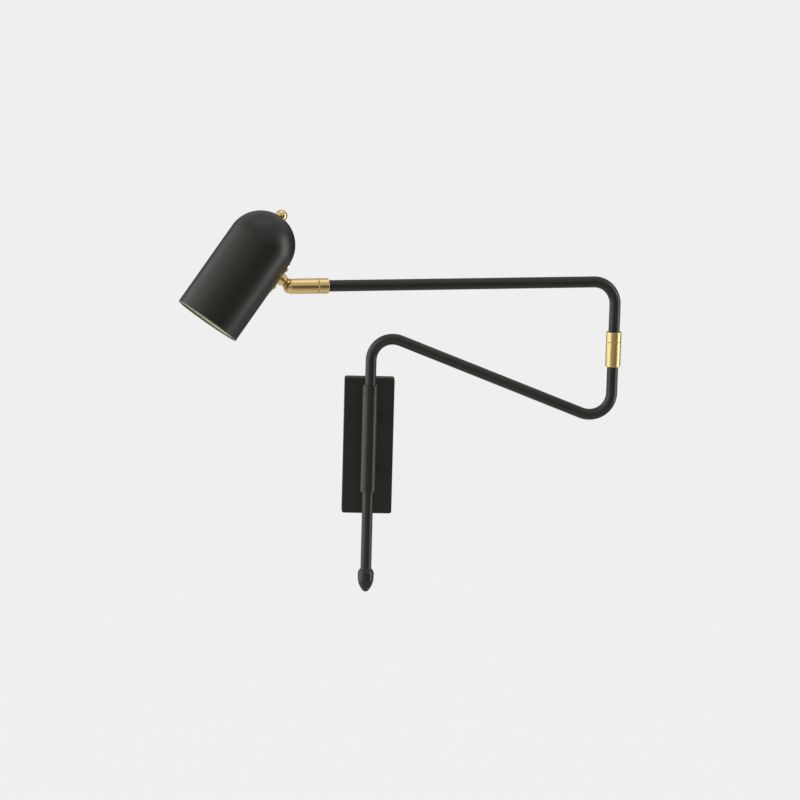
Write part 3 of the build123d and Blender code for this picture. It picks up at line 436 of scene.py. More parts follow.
# ---------------------------------------------------------------------------- finishes
@dataclass(frozen=True)
class PowderCoat:
    """Satin black powder coat: orange peel, a fine grain and slightly polished edges."""

    name: str = "powder_coat_black"
    colour: Colour = (0.0122, 0.0128, 0.0082)
    rubbed: Colour = (0.026, 0.026, 0.020)
    roughness: float = 0.38
    ior: float = 1.48
    drift: float = 38 * MM
    drift_share: float = 0.34
    drift_rough: float = 0.10
    speck: float = 0.7 * MM
    speck_share: float = 0.22
    speck_rough: float = 0.08
    wear: float = 3.5 * MM
    wear_span: Span = (0.42, 0.66)
    wear_share: float = 0.55
    wear_polish: float = 0.10
    peel: float = 1.6 * MM
    peel_depth: float = 0.012 * MM
    grain: float = 0.28 * MM
    grain_depth: float = 0.0022 * MM

    def make(self) -> bpy.types.Material:
        """Build the material.

        Returns:
            The finished material.
        """
        paint = Paint(self.name)
        return paint.finish(Base_Color=self.coat(paint, rgba(self.colour)))

    def coat(self, paint: Paint, colour: NodeValue, extra_rough: NodeValue = 0.0) -> Signal:
        """Coat a paint with this finish, all but its colour.

        Args:
            paint: The material to work on.
            colour: The coat's colour, or a signal of colours.
            extra_rough: Roughness that is added to the coat's own.

        Returns:
            The coat's colours, for the surface.
        """
        drift = paint.noise(self.drift, 3.0)
        speck = paint.noise(self.speck)
        worn = paint.spread(paint.noise(self.wear, 4.0), self.wear_span)
        rubbed = paint.attribute("wear") * worn
        tone = (drift * self.drift_share + speck * self.speck_share).clamped()
        deep = paint.blend(tone, colour, rgba(self.rubbed))
        rough = (self.roughness + paint.swing(drift, self.drift_rough)
                 + paint.swing(speck, self.speck_rough) - rubbed * self.wear_polish + extra_rough)
        relief = paint.bump((paint.noise(self.peel, 1.0), self.peel_depth),
                            (paint.noise(self.grain, 1.0), self.grain_depth))
        paint.finish(Roughness=rough, Normal=relief, IOR=self.ior)
        return paint.blend(rubbed * self.wear_share, deep, rgba(self.rubbed))


@dataclass(frozen=True)
class ShadePaint:
    """The shade's coat outside, its pale enamel inside and bare metal on its rim, which is also a
    painted highlight line.
    """

    coat: PowderCoat = PowderCoat("shade_coat_black")
    enamel: Colour = (0.80, 0.80, 0.58)
    stained: Colour = (0.74, 0.72, 0.50)
    stain: float = 9 * MM
    stain_share: float = 0.35
    # Lighter bare metal on the rim; it also stands in for the rim's highlight, so it is partly a painted
    # highlight.
    rim_bare_and_highlight: Colour = (0.42, 0.42, 0.38)
    rim_patch_grain: float = 6 * MM
    rim_patch_span: Span = (0.30, 0.55)
    rim_patch_result: Span = (0.55, 1.0)
    rim_bare_and_highlight_share: float = 0.9
    enamel_polish: float = -0.06

    def make(self) -> bpy.types.Material:
        """Build the material.

        Returns:
            The finished material.
        """
        paint = Paint(self.coat.name)
        inner = paint.attribute("inside")
        rim_patches = paint.spread(paint.noise(self.rim_patch_grain, 3.0), self.rim_patch_span, self.rim_patch_result)
        # rim wear broken into patches: where bare metal and a painted highlight line go
        rim_bare_and_highlight = paint.attribute("wear") * rim_patches
        enamel = paint.blend(paint.noise(self.stain, 3.0) * self.stain_share, rgba(self.enamel),
                             rgba(self.stained))
        base = paint.blend(inner, rgba(self.coat.colour), enamel)
        coated = self.coat.coat(paint, base, inner * self.enamel_polish)
        # lighten the rim: bare metal and a painted highlight line
        edge = paint.blend(rim_bare_and_highlight * self.rim_bare_and_highlight_share, coated, rgba(self.rim_bare_and_highlight))
        return paint.finish(Base_Color=paint.blend(inner, edge, enamel))


@dataclass(frozen=True)
class TurnedBrass:
    """Lacquered brass with the fine rings that a lathe leaves round an axis."""

    name: str
    axis: Vector
    colour: Colour = (0.84, 0.60, 0.22)
    deep: Colour = (0.64, 0.38, 0.10)
    bright: Colour = (0.93, 0.74, 0.44)
    roughness: float = 0.25
    cloud: float = 11 * MM
    cloud_span: Span = (0.45, 0.75)
    cloud_share: float = 0.26
    cloud_rough: float = 0.08
    pits: float = 1.3 * MM
    pit_span: Span = (0.5, 0.8)
    pit_share: float = 0.12
    pit_depth: float = 0.0002 * MM
    ring_pitch: float = 0.42 * MM
    ring_share: float = 0.16
    ring_rough: float = 0.08
    ring_depth: float = 0.0005 * MM
    edge_share: float = 0.4
    edge_polish: float = 0.05
    aged_dullness: float = 0.10
    lacquer: float = 1.0
    lacquer_rough: float = 0.15
    lacquer_ior: float = 1.65

    def make(self) -> bpy.types.Material:
        """Build the material.

        Returns:
            The finished material.
        """
        paint = Paint(self.name)
        cloud = paint.noise(self.cloud, 3.0)
        pits = paint.noise(self.pits, 4.0)
        ring = paint.rings(self.axis, self.ring_pitch)
        edge = paint.attribute("wear")
        aged = (paint.spread(cloud, self.cloud_span) * self.cloud_share
                + paint.spread(pits, self.pit_span) * self.pit_share
                + paint.swing(ring, self.ring_share)).clamped()
        colour = paint.blend(aged, rgba(self.colour), rgba(self.deep))
        rough = (self.roughness + paint.swing(ring, self.ring_rough)
                 + paint.swing(cloud, self.cloud_rough) - edge * self.edge_polish)
        return paint.finish(Base_Color=paint.blend(edge * self.edge_share, colour, rgba(self.bright)),
                            Metallic=1.0 - aged * self.aged_dullness, Roughness=rough,
                            Normal=paint.bump((ring, self.ring_depth), (pits, self.pit_depth)),
                            Coat_Weight=self.lacquer, Coat_Roughness=self.lacquer_rough,
                            Coat_IOR=self.lacquer_ior)


@dataclass(frozen=True)
class PlatedSteel:
    """Zinc-plated steel with a cloudy, slightly spangled face."""

    name: str = "steel_zinc_plated"
    colour: Colour = (0.60, 0.61, 0.60)
    dull: Colour = (0.42, 0.43, 0.44)
    roughness: float = 0.36
    spangle: float = 2.2 * MM
    spangle_share: float = 0.35
    cloud: float = 6 * MM
    cloud_span: Span = (0.35, 0.7)
    cloud_share: float = 0.45
    pits: float = 0.5 * MM
    pit_depth: float = 0.002 * MM
    dullness: float = 0.12
    dull_rough: float = 0.16

    def make(self) -> bpy.types.Material:
        """Build the material.

        Returns:
            The finished material.
        """
        paint = Paint(self.name)
        cells = paint.node("ShaderNodeTexVoronoi", {"feature": "F1"},
                           {"Vector": paint.place, "Scale": 1.0 / self.spangle}, "Color")
        grey = paint.node("ShaderNodeRGBToBW", None, {0: cells})
        cloud = paint.spread(paint.noise(self.cloud, 4.0), self.cloud_span)
        dull = (grey * self.spangle_share + cloud * self.cloud_share).clamped()
        return paint.finish(Base_Color=paint.blend(dull, rgba(self.colour), rgba(self.dull)),
                            Metallic=1.0 - dull * self.dullness,
                            Roughness=self.roughness + dull * self.dull_rough,
                            Normal=paint.bump((paint.noise(self.pits), self.pit_depth)))


@dataclass(frozen=True)
class Moulding:
    """Moulded or fired stuff: plastic, nylon, rubber sheath or ceramic."""

    name: str
    colour: Colour
    second: Colour
    roughness: float
    cloud: float = 7 * MM
    cloud_share: float = 0.4
    grain: float = 0.8 * MM
    grain_depth: float = 0.004 * MM
    grain_rough: float = 0.12
    speck_span: Span = (0.5, 0.75)
    speck_share: float = 0.3

    def make(self) -> bpy.types.Material:
        """Build the material.

        Returns:
            The finished material.
        """
        paint = Paint(self.name)
        cloud = paint.noise(self.cloud, 3.0)
        grain = paint.noise(self.grain, 3.0)
        share = (cloud * self.cloud_share
                 + paint.spread(grain, self.speck_span) * self.speck_share).clamped()
        return paint.finish(Base_Color=paint.blend(share, rgba(self.colour), rgba(self.second)),
                            Roughness=self.roughness + paint.swing(grain, self.grain_rough),
                            Normal=paint.bump((grain, self.grain_depth)))


@dataclass(frozen=True)
class FrostedLens:
    """Frosted lamp lens: pale, softly clear, with a fine etched grain."""

    name: str = "lens_frosted"
    colour: Colour = (0.93, 0.93, 0.88)
    cloudy: Colour = (0.86, 0.86, 0.80)
    cloud: float = 8 * MM
    cloud_share: float = 0.4
    etch: float = 0.35 * MM
    etch_depth: float = 0.003 * MM
    etch_rough: float = 0.2
    roughness: float = 0.30
    clearness: float = 0.25
    ior: float = 1.5

    def make(self) -> bpy.types.Material:
        """Build the material.

        Returns:
            The finished material.
        """
        paint = Paint(self.name)
        etch = paint.noise(self.etch)
        cloud = paint.noise(self.cloud) * self.cloud_share
        return paint.finish(Base_Color=paint.blend(cloud, rgba(self.colour), rgba(self.cloudy)),
                            Roughness=self.roughness + paint.swing(etch, self.etch_rough),
                            Normal=paint.bump((etch, self.etch_depth)),
                            Transmission_Weight=self.clearness, IOR=self.ior)


class Finishes:
    """Every finish of the lamp, made once."""

    def __init__(self, linkage: Linkage) -> None:
        """Make the materials.

        Args:
            linkage: The axes that the turned pieces were turned about.
        """
        self.black = PowderCoat().make()
        self.shade = ShadePaint().make()
        # A darker copy of the turned brass for the upright pieces, darkened to tame the lamps'
        # highlights on them: painted shade.
        self.brass_upright_shaded = TurnedBrass("brass_turned_upright_shaded", UP, colour=(0.73, 0.51, 0.185),
                                         roughness=0.40).make()
        self.brass_arm = TurnedBrass("brass_turned_arm", linkage.upper_dir).make()
        self.brass_knuckle = TurnedBrass("brass_turned_knuckle", linkage.reach_dir).make()
        self.brass_knob = TurnedBrass("brass_turned_knob", linkage.shade_dir).make()
        self.brass_screw = TurnedBrass("brass_screw", linkage.reach_dir, colour=(0.46, 0.31, 0.15),
                                       deep=(0.30, 0.18, 0.07), roughness=0.30,
                                       ring_pitch=0.25 * MM).make()
        self.steel = PlatedSteel().make()
        self.nylon = Moulding("nylon_black", colour=(0.020, 0.020, 0.021),
                              second=(0.035, 0.035, 0.036), roughness=0.48).make()
        self.white = Moulding("plastic_white", colour=(0.78, 0.78, 0.74),
                              second=(0.70, 0.69, 0.64), roughness=0.42).make()
        self.lamp = Moulding("lamp_white", colour=(0.80, 0.80, 0.78), second=(0.73, 0.73, 0.70),
                             roughness=0.30, speck_share=0.15).make()
        self.ceramic = Moulding("steatite", colour=(0.80, 0.77, 0.69), second=(0.62, 0.58, 0.50),
                                roughness=0.72, grain=0.45 * MM, grain_depth=0.010 * MM,
                                speck_share=0.5).make()
        self.sheath = Moulding("wire_sheath", colour=(0.028, 0.028, 0.028),
                               second=(0.05, 0.05, 0.05), roughness=0.52).make()
        self.lens = FrostedLens().make()


# ---------------------------------------------------------------------------- mesh drafts
ProfilePoint = tuple[float, float, float]


@dataclass(frozen=True)
class Corner:
    """A corner of a turned profile: distance from the axis, height and rounding."""

    r: float
    h: float
    soft: float = 0.0


def round_corners(corners: Sequence[Corner], closed: bool, steps: int = 5,
                  guard: float = 0.35) -> list[ProfilePoint]:
    """Turn corners into profile points, with an arc and two guard points at each soft one.

    Args:
        corners: The profile's corners in order.
        closed: Whether the last corner joins the first.
        steps: Arc steps at a soft corner.
        guard: Guard points' distance from the arc, as a share of its tangent length.

    Returns:
        Points of radius, height and wear, which is 1 on the arcs.
    """
    points: list[ProfilePoint] = []
    for i, corner in enumerate(corners):
        here = Vector((corner.r, corner.h))
        if corner.soft <= 0 or (not closed and i in (0, len(corners) - 1)):
            points.append((here.x, here.y, 0.0))
            continue
        before, after = corners[i - 1], corners[(i + 1) % len(corners)]
        back = Vector((before.r, before.h)) - here
        ahead = Vector((after.r, after.h)) - here
        half_turn = back.angle(ahead) / 2
        longest = LONGEST_TANGENT * min(back.length, ahead.length)
        reach = min(corner.soft / math.tan(half_turn), longest)
        radius = reach * math.tan(half_turn)
        back.normalize()
        ahead.normalize()
        centre = here + (back + ahead).normalized() * (radius / math.sin(half_turn))
        first = here + back * reach - centre
        last = here + ahead * reach - centre
        sweep = -first.angle_signed(last) / steps
        entry = here + back * reach * (1 + guard)
        leave = here + ahead * reach * (1 + guard)
        spokes = [centre + Matrix.Rotation(sweep * step, 2) @ first for step in range(steps + 1)]
        points += [(entry.x, entry.y, 0.0), *((place.x, place.y, 1.0) for place in spokes),
                   (leave.x, leave.y, 0.0)]
    return points


def arc_points(centre: tuple[float, float], radius: float, start: float, end: float,
               steps: int) -> list[ProfilePoint]:
    """Profile points on an arc, by angles from the radius direction."""
    angles = [start + (end - start) * i / steps for i in range(steps + 1)]
    return [(centre[0] + radius * math.cos(turn), centre[1] + radius * math.sin(turn), 0.0)
            for turn in angles]


def half_ball(height: float, radius: float, start: float, steps: int) -> list[ProfilePoint]:
    """Lay out the upper part of a ball that stands on the axis.

    Args:
        height: The height of its centre.
        radius: Its radius.
        start: The angle that the part starts at.
        steps: Steps up to the pole.

    Returns:
        Profile points that end on the pole.
    """
    points = arc_points((0.0, height), radius, start, math.pi / 2, steps)
    return [*points[:-1], (0.0, points[-1][1], 0.0)]


def arc_through(a: tuple[float, float], b: tuple[float, float], c: tuple[float, float],
                steps: int) -> list[ProfilePoint]:
    """Lay out the arc that runs through three points.

    Args:
        a: Its first point, as radius and height.
        b: A point that it passes.
        c: Its last point.
        steps: Steps from the first to the last.

    Returns:
        Profile points.
    """
    (ax, ay), (bx, by), (cx, cy) = a, b, c
    scale = 2 * (ax * (by - cy) + bx * (cy - ay) + cx * (ay - by))
    squares = [x * x + y * y for x, y in (a, b, c)]
    ux = (squares[0] * (by - cy) + squares[1] * (cy - ay) + squares[2] * (ay - by)) / scale
    uy = (squares[0] * (cx - bx) + squares[1] * (ax - cx) + squares[2] * (bx - ax)) / scale
    first, middle, last = (Vector((x - ux, y - uy)) for x, y in (a, b, c))
    sweep = -(first.angle_signed(middle) + middle.angle_signed(last))
    start = math.atan2(first.y, first.x)
    return arc_points((ux, uy), first.length, start, start + sweep, steps)


@dataclass
class Draft:
    """Points and faces gathered before they become a mesh."""

    points: list[Vector] = field(default_factory=list)
    faces: list[tuple[int, ...]] = field(default_factory=list)
    wear: list[float] = field(default_factory=list)
    inside: list[float] = field(default_factory=list)

    def add(self, other: "Draft", axes: Axes | None = None) -> "Draft":
        """Add another draft.

        Args:
            other: The draft that is added.
            axes: The frame that places it, or None if it is in place.

        Returns:
            This draft.
        """
        first = len(self.points)
        self.points += [axes.at(*point) if axes else point.copy() for point in other.points]
        self.faces += [tuple(first + index for index in face) for face in other.faces]
        self.wear += other.wear
        self.inside += other.inside
        return self

    def point(self, place: Vector, wear: float = 0.0, inside: float = 0.0) -> int:
        """Add one point.

        Args:
            place: Where it is.
            wear: 1 on an edge that gets handled; on the shade's rim it also marks a painted highlight.
            inside: 1 on the shade's inner face.

        Returns:
            Its number.
        """
        self.points.append(place)
        self.wear.append(wear)
        self.inside.append(inside)
        return len(self.points) - 1

    def bridge(self, low: Sequence[int], high: Sequence[int]) -> None:
        """Join two closed rows of points by faces.

        Args:
            low: The first row's points. One point is a pole.
            high: The second row's points, as many, or a pole.
        """
        steps = max(len(low), len(high))
        for i in range(steps):
            j = (i + 1) % steps
            if len(low) == 1:
                self.faces.append((low[0], high[j], high[i]))
            elif len(high) == 1:
                self.faces.append((low[i], low[j], high[0]))
            else:
                self.faces.append((low[i], low[j], high[j], high[i]))

    def cap(self, *firsts: int, count: int) -> None:
        """Close rows of so many points, each with one face, by their first points' numbers."""
        self.faces += [tuple(range(first, first + count)) for first in firsts]

    def mesh(self, name: str, axes: Axes | None = None) -> bpy.types.Mesh:
        """Make a smooth mesh whose faces point outwards.

        Args:
            name: The mesh's name.
            axes: The frame that places the draft, or None if it is in place.

        Returns:
            The mesh.
        """
        mesh = bpy.data.meshes.new(name)
        places = [tuple(axes.at(*point) if axes else point) for point in self.points]
        mesh.from_pydata(places, [], self.faces)
        for attribute, values in (("wear", self.wear), ("inside", self.inside)):
            layer = mesh.attributes.new(attribute, "FLOAT", "POINT")
            layer.data.foreach_set("value", values)
        turn_outwards(mesh)
        return smoothed(mesh)


def smoothed(mesh: bpy.types.Mesh) -> bpy.types.Mesh:
    """Shade a mesh smooth, apart from its sharp edges.

    Args:
        mesh: The mesh that is changed.

    Returns:
        The same mesh.
    """
    mesh.polygons.foreach_set("use_smooth", [True] * len(mesh.polygons))
    mesh.set_sharp_from_angle(angle=SHARP_ANGLE)
    return mesh


def turn_outwards(mesh: bpy.types.Mesh) -> None:
    """Make every closed shell's faces point outwards.

    Args:
        mesh: The mesh that is changed.
    """
    work = bmesh.new()
    work.from_mesh(mesh)
    bmesh.ops.recalc_face_normals(work, faces=work.faces)
    work.to_mesh(mesh)
    work.free()


def revolve(profile: Sequence[ProfilePoint], steps: int, closed: bool,
            inside: Callable[[float, float], bool] | None = None) -> Draft:
    """Turn a profile round the local z axis.

    Args:
        profile: Points of radius, height and wear. A radius of 0 is a pole.
        steps: Steps round the axis.
        closed: Whether the last point joins the first, as on a ring.
        inside: Says whether a point is on the inner face.

    Returns:
        The turned draft.
    """
    draft = Draft()
    rows: list[list[int]] = []
    for radius, height, wear in profile:
        inner = 1.0 if inside and inside(radius, height) else 0.0
        spokes = turns(steps) if radius >= TINY else [0.0]
        rows.append([draft.point(Vector((radius * math.cos(turn), radius * math.sin(turn), height)),
                                 wear, inner) for turn in spokes])
    pairs = list(zip(rows, rows[1:] + rows[:1]))
    for low, high in pairs if closed else pairs[:-1]:
        draft.bridge(low, high)
    return draft


def turned_ring(name: str, corners: Sequence[Corner], axes: Axes, around: int, soft_steps: int = 5,
                guard: float = 0.35) -> bpy.types.Mesh:
    """Turn a ring with soft corners.

    Args:
        name: The mesh's name.
        corners: Its closed profile.
        axes: Its place.
        around: Steps round the axis.
        soft_steps: Arc steps at a soft corner.
        guard: Guard points' distance from the arcs, as in round_corners.

    Returns:
        The ring's mesh.
    """
    return revolve(round_corners(corners, True, soft_steps, guard), around, True).mesh(name, axes)


def loft(sections: Sequence[Sequence[Vector]], wear: Sequence[Sequence[float]]) -> Draft:
    """Skin closed sections.

    Args:
        sections: Rows of as many points. A section of one point is a pole.
        wear: The wear of each point.

    Returns:
        The skin, open at both ends unless they are poles.
    """
    draft = Draft()
    rows = [[draft.point(place, worn) for place, worn in zip(section, worns)]
            for section, worns in zip(sections, wear)]
    for low, high in zip(rows, rows[1:]):
        draft.bridge(low, high)
    return draft


def rounded_outline(width: float, height: float, corner: float,
                    steps: int) -> list[tuple[float, float]]:
    """Lay out a rectangle with round corners.

    Args:
        width: Its width.
        height: Its height.
        corner: The corners' radius.
        steps: Steps on each corner.

    Returns:
        Its points, counter-clockwise.
    """
    points: list[tuple[float, float]] = []
    for quarter, (sx, sy) in enumerate(((1, 1), (-1, 1), (-1, -1), (1, -1))):
        for step in range(steps + 1):
            turn = math.pi / 2 * (quarter + step / steps)
            points.append((sx * (width / 2 - corner) + corner * math.cos(turn),
                           sy * (height / 2 - corner) + corner * math.sin(turn)))
    return points


# ---------------------------------------------------------------------------- workshop
class Workshop:
    """Turns drafts into pieces that ride on the right body."""

    def __init__(self) -> None:
        """Start with no pieces."""
        self.made = 0
        self.kept = 0

    def piece(self, name: str, shape: bpy.types.Mesh, material: bpy.types.Material | None, body: Body,
              slot: Slot, node: str) -> None:
        """Place a mesh as a piece of the lamp.

        Args:
            name: The piece's name.
            shape: Its mesh, in the lamp's frame.
            material: Its finish, or None if the mesh has it already.
            body: The body that it rides on.
            slot: The record's slot of its finish; not used.
            node: The node that it stands for.
        """
        made = bpy.data.objects.new(name, shape)
        bpy.context.scene.collection.objects.link(made)
        if material:
            shape.materials.clear()
            shape.materials.append(material)
        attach(made, body.value)
        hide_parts(node)
        self.made += 1
        log.info("%s: %d faces on %s", name, len(shape.polygons), body.value)

    def keep(self, material: bpy.types.Material, *nodes: str) -> None:
        """Give nodes that keep their own mesh a finish.

        Args:
            material: The finish.
            *nodes: The nodes.
        """
        for node in nodes:
            for slot in frame["nodes"][node].material_slots:
                slot.material = material
            self.kept += 1
            log.info("%s: kept, finished as %s", node, material.name)

    @staticmethod
    def baked(base: bpy.types.Mesh, setup: Callable[[bpy.types.Object], None],
              spares: Iterable[bpy.types.Object] = ()) -> bpy.types.Mesh:
        """Apply modifiers to a mesh.

        Args:
            base: The mesh to start from.
            setup: Adds the modifiers to an object.
            spares: Helper objects that are removed afterwards.

        Returns:
            A new plain mesh.
        """
        holder = bpy.data.objects.new("holder", base)
        bpy.context.scene.collection.objects.link(holder)
        setup(holder)
        bpy.context.view_layer.update()
        graph = bpy.context.evaluated_depsgraph_get()
        result = bpy.data.meshes.new_from_object(holder.evaluated_get(graph))
        holder.modifiers.clear()
        for spare in (holder, *spares):
            bpy.data.objects.remove(spare)
        return result

    def cut(self, base: bpy.types.Mesh, *cutters: bpy.types.Mesh) -> bpy.types.Mesh:
        """Cut closed meshes out of a closed mesh.

        Args:
            base: The mesh that is cut.
            *cutters: What is taken out of it.

        Returns:
            A new plain mesh.
        """
        tools = [bpy.data.objects.new("cutter", cutter) for cutter in cutters]

        def setup(holder: bpy.types.Object) -> None:
            """Add one Boolean for each cutter.

            Args:
                holder: The object that holds the mesh.
            """
            for tool in tools:
                bpy.context.scene.collection.objects.link(tool)
                boolean = holder.modifiers.new("cut", "BOOLEAN")
                boolean.operation = "DIFFERENCE"
                boolean.solver = "EXACT"
                boolean.object = tool

        return smoothed(self.baked(base, setup, tools))


def drum(axes: Axes, radius: float, low: float, high: float, steps: int = 40) -> bpy.types.Mesh:
    """A plain closed cylinder, used as a cutter."""
    profile = [(0.0, low, 0.0), (radius, low, 0.0), (radius, high, 0.0), (0.0, high, 0.0)]
    return revolve(profile, steps, False).mesh("drum", axes)


def screw_hole(node: str, outward: Vector) -> bpy.types.Mesh:
    """A cutter for the hole of a set screw, at the middle of the screw's box."""
    low, high = SCREW_HOLE_SPAN
    return drum(Axes.along(middle_of(node), outward, UP), SCREW_HOLE, low, high)


def block(axes: Axes, low: Sequence[float], high: Sequence[float]) -> bpy.types.Mesh:
    """Make a plain closed block, used as a cutter.

    Args:
        axes: Its place.
        low: Its lowest local corner.
        high: Its highest local corner.

    Returns:
        The block's mesh.
    """
    outline = ((low[0], low[1]), (high[0], low[1]), (high[0], high[1]), (low[0], high[1]))
    floor, roof = ([Vector((x, y, level)) for x, y in outline] for level in (low[2], high[2]))
    draft = loft([floor, roof], [[0.0] * len(outline)] * 2)
    draft.cap(0, len(outline), count=len(outline))
    return draft.mesh("block", axes)


# ---------------------------------------------------------------------------- geometry nodes
class Tree(Bench):
    """A geometry node tree with named inputs that ends in one finish."""

    def __init__(self, name: str, inputs: dict[str, float | int]) -> None:
        """Open a tree.

        Args:
            name: The tree's name.
            inputs: Defaults of its named inputs. A whole number makes an integer input.
        """
        super().__init__(bpy.data.node_groups.new(name, "GeometryNodeTree"))
        face = self.tree.interface
        for way in ("OUTPUT", "INPUT"):
            face.new_socket(name="Geometry", in_out=way, socket_type="NodeSocketGeometry")
        for label, default in inputs.items():
            kind = "NodeSocketInt" if isinstance(default, int) else "NodeSocketFloat"
            face.new_socket(name=label, in_out="INPUT", socket_type=kind).default_value = default
        face.new_socket(name="Finish", in_out="INPUT", socket_type="NodeSocketMaterial")
        self.entry = self.tree.nodes.new("NodeGroupInput")

    def given(self, label: str) -> Signal:
        """A named input of the tree."""
        return Signal(self, self.entry.outputs[label])

    def vector(self, x: NodeValue, y: NodeValue, z: NodeValue) -> Signal:
        """A vector from three numbers."""
        return self.node("ShaderNodeCombineXYZ", None, {"X": x, "Y": y, "Z": z})

    def shift_up(self, geometry: Signal, rise: NodeValue) -> Signal:
        """Geometry moved along z."""
        return self.node("GeometryNodeTransform", None,
                         {"Geometry": geometry, "Translation": self.vector(0.0, 0.0, rise)})

    def close(self, geometry: Signal) -> None:
        """End the tree: realise instances, shade smooth and set the finish.

        Args:
            geometry: What the tree has made.
        """
        real = self.node("GeometryNodeRealizeInstances", None, {"Geometry": geometry})
        smooth = self.node("GeometryNodeSetShadeSmooth", None, {"Geometry": real})
        dressed = self.node("GeometryNodeSetMaterial", None,
                            {"Geometry": smooth, "Material": self.given("Finish")})
        self.end("NodeGroupOutput", "Geometry", dressed)

    def grow(self, base: bpy.types.Mesh, values: dict[str, Any],
             after: Callable[[bpy.types.Object], None] | None = None) -> bpy.types.Mesh:
        """Run the tree on a mesh.

        Args:
            base: The mesh that the tree starts from.
            values: Values of its named inputs.
            after: Adds further modifiers.

        Returns:
            The result as a plain mesh.
        """
        identifiers = {item.name: item.identifier for item in self.tree.interface.items_tree
                       if item.in_out == "INPUT"}

        def setup(holder: bpy.types.Object) -> None:
            """Add the tree as a modifier, with its inputs set.

            Args:
                holder: The object that holds the mesh.
            """
            grower = holder.modifiers.new("grow", "NODES")
            grower.node_group = self.tree
            for label, value in values.items():
                grower[identifiers[label]] = value
            if after:
                after(holder)

        result = Workshop.baked(base, setup)
        turn_outwards(result)
        result.set_sharp_from_angle(angle=SHARP_ANGLE)
        return result


@dataclass(frozen=True)
class TubeStock:
    """The lamp tube that both arms are bent from."""

    radius: float = 6.0 * MM
    wall: float = 1.2 * MM
    bend: float = 25.0 * MM

    @property
    def socket(self) -> float:
        """Radius of a bore that takes the tube."""
        return self.radius + CLEARANCE

    @property
    def plug(self) -> float:
        """Radius of a pin that fits into the tube."""
        return self.radius - self.wall - CLEARANCE


class BentTube(Tree):
    """A round tube that follows straight runs joined by bends of one radius."""

    def __init__(self) -> None:
        """Build the tree."""
        super().__init__("bent_tube", {"Tube Radius": 6 * MM, "Bend Radius": 20 * MM,
                                       "Bend Steps": 20, "Ring Steps": 40})
        run = self.node("GeometryNodeMeshToCurve", None, {"Mesh": self.given("Geometry")})
        bent = self.node("GeometryNodeFilletCurve", {"mode": "POLY"},
                         {"Curve": run, "Count": self.given("Bend Steps"),
                          "Radius": self.given("Bend Radius")})
        ring = self.node("GeometryNodeCurvePrimitiveCircle", None,
                         {"Resolution": self.given("Ring Steps"), "Radius": self.given("Tube Radius")})
        self.close(self.node("GeometryNodeCurveToMesh", None, {"Curve": bent, "Profile Curve": ring}))

    def along(self, corners: Sequence[Vector], stock: TubeStock,
              material: bpy.types.Material) -> bpy.types.Mesh:
        """Bend a tube through corner points.

        Args:
            corners: Its two ends, and between them the corners that its bends round off.
            stock: The tube's sizes.
            material: Its finish.

        Returns:
            The tube with its wall.
        """
        path = bpy.data.meshes.new("path")
        path.from_pydata([tuple(corner) for corner in corners],
                         [(i, i + 1) for i in range(len(corners) - 1)], [])

        def thicken(holder: bpy.types.Object) -> None:
            """Give the skin its wall, inwards.

            Args:
                holder: The object that holds the skin.
            """
            solid = holder.modifiers.new("wall", "SOLIDIFY")
            solid.thickness = stock.wall
            solid.offset = -1.0

        return self.grow(path, {"Tube Radius": stock.radius, "Bend Radius": stock.bend,
                                "Finish": material}, thicken)


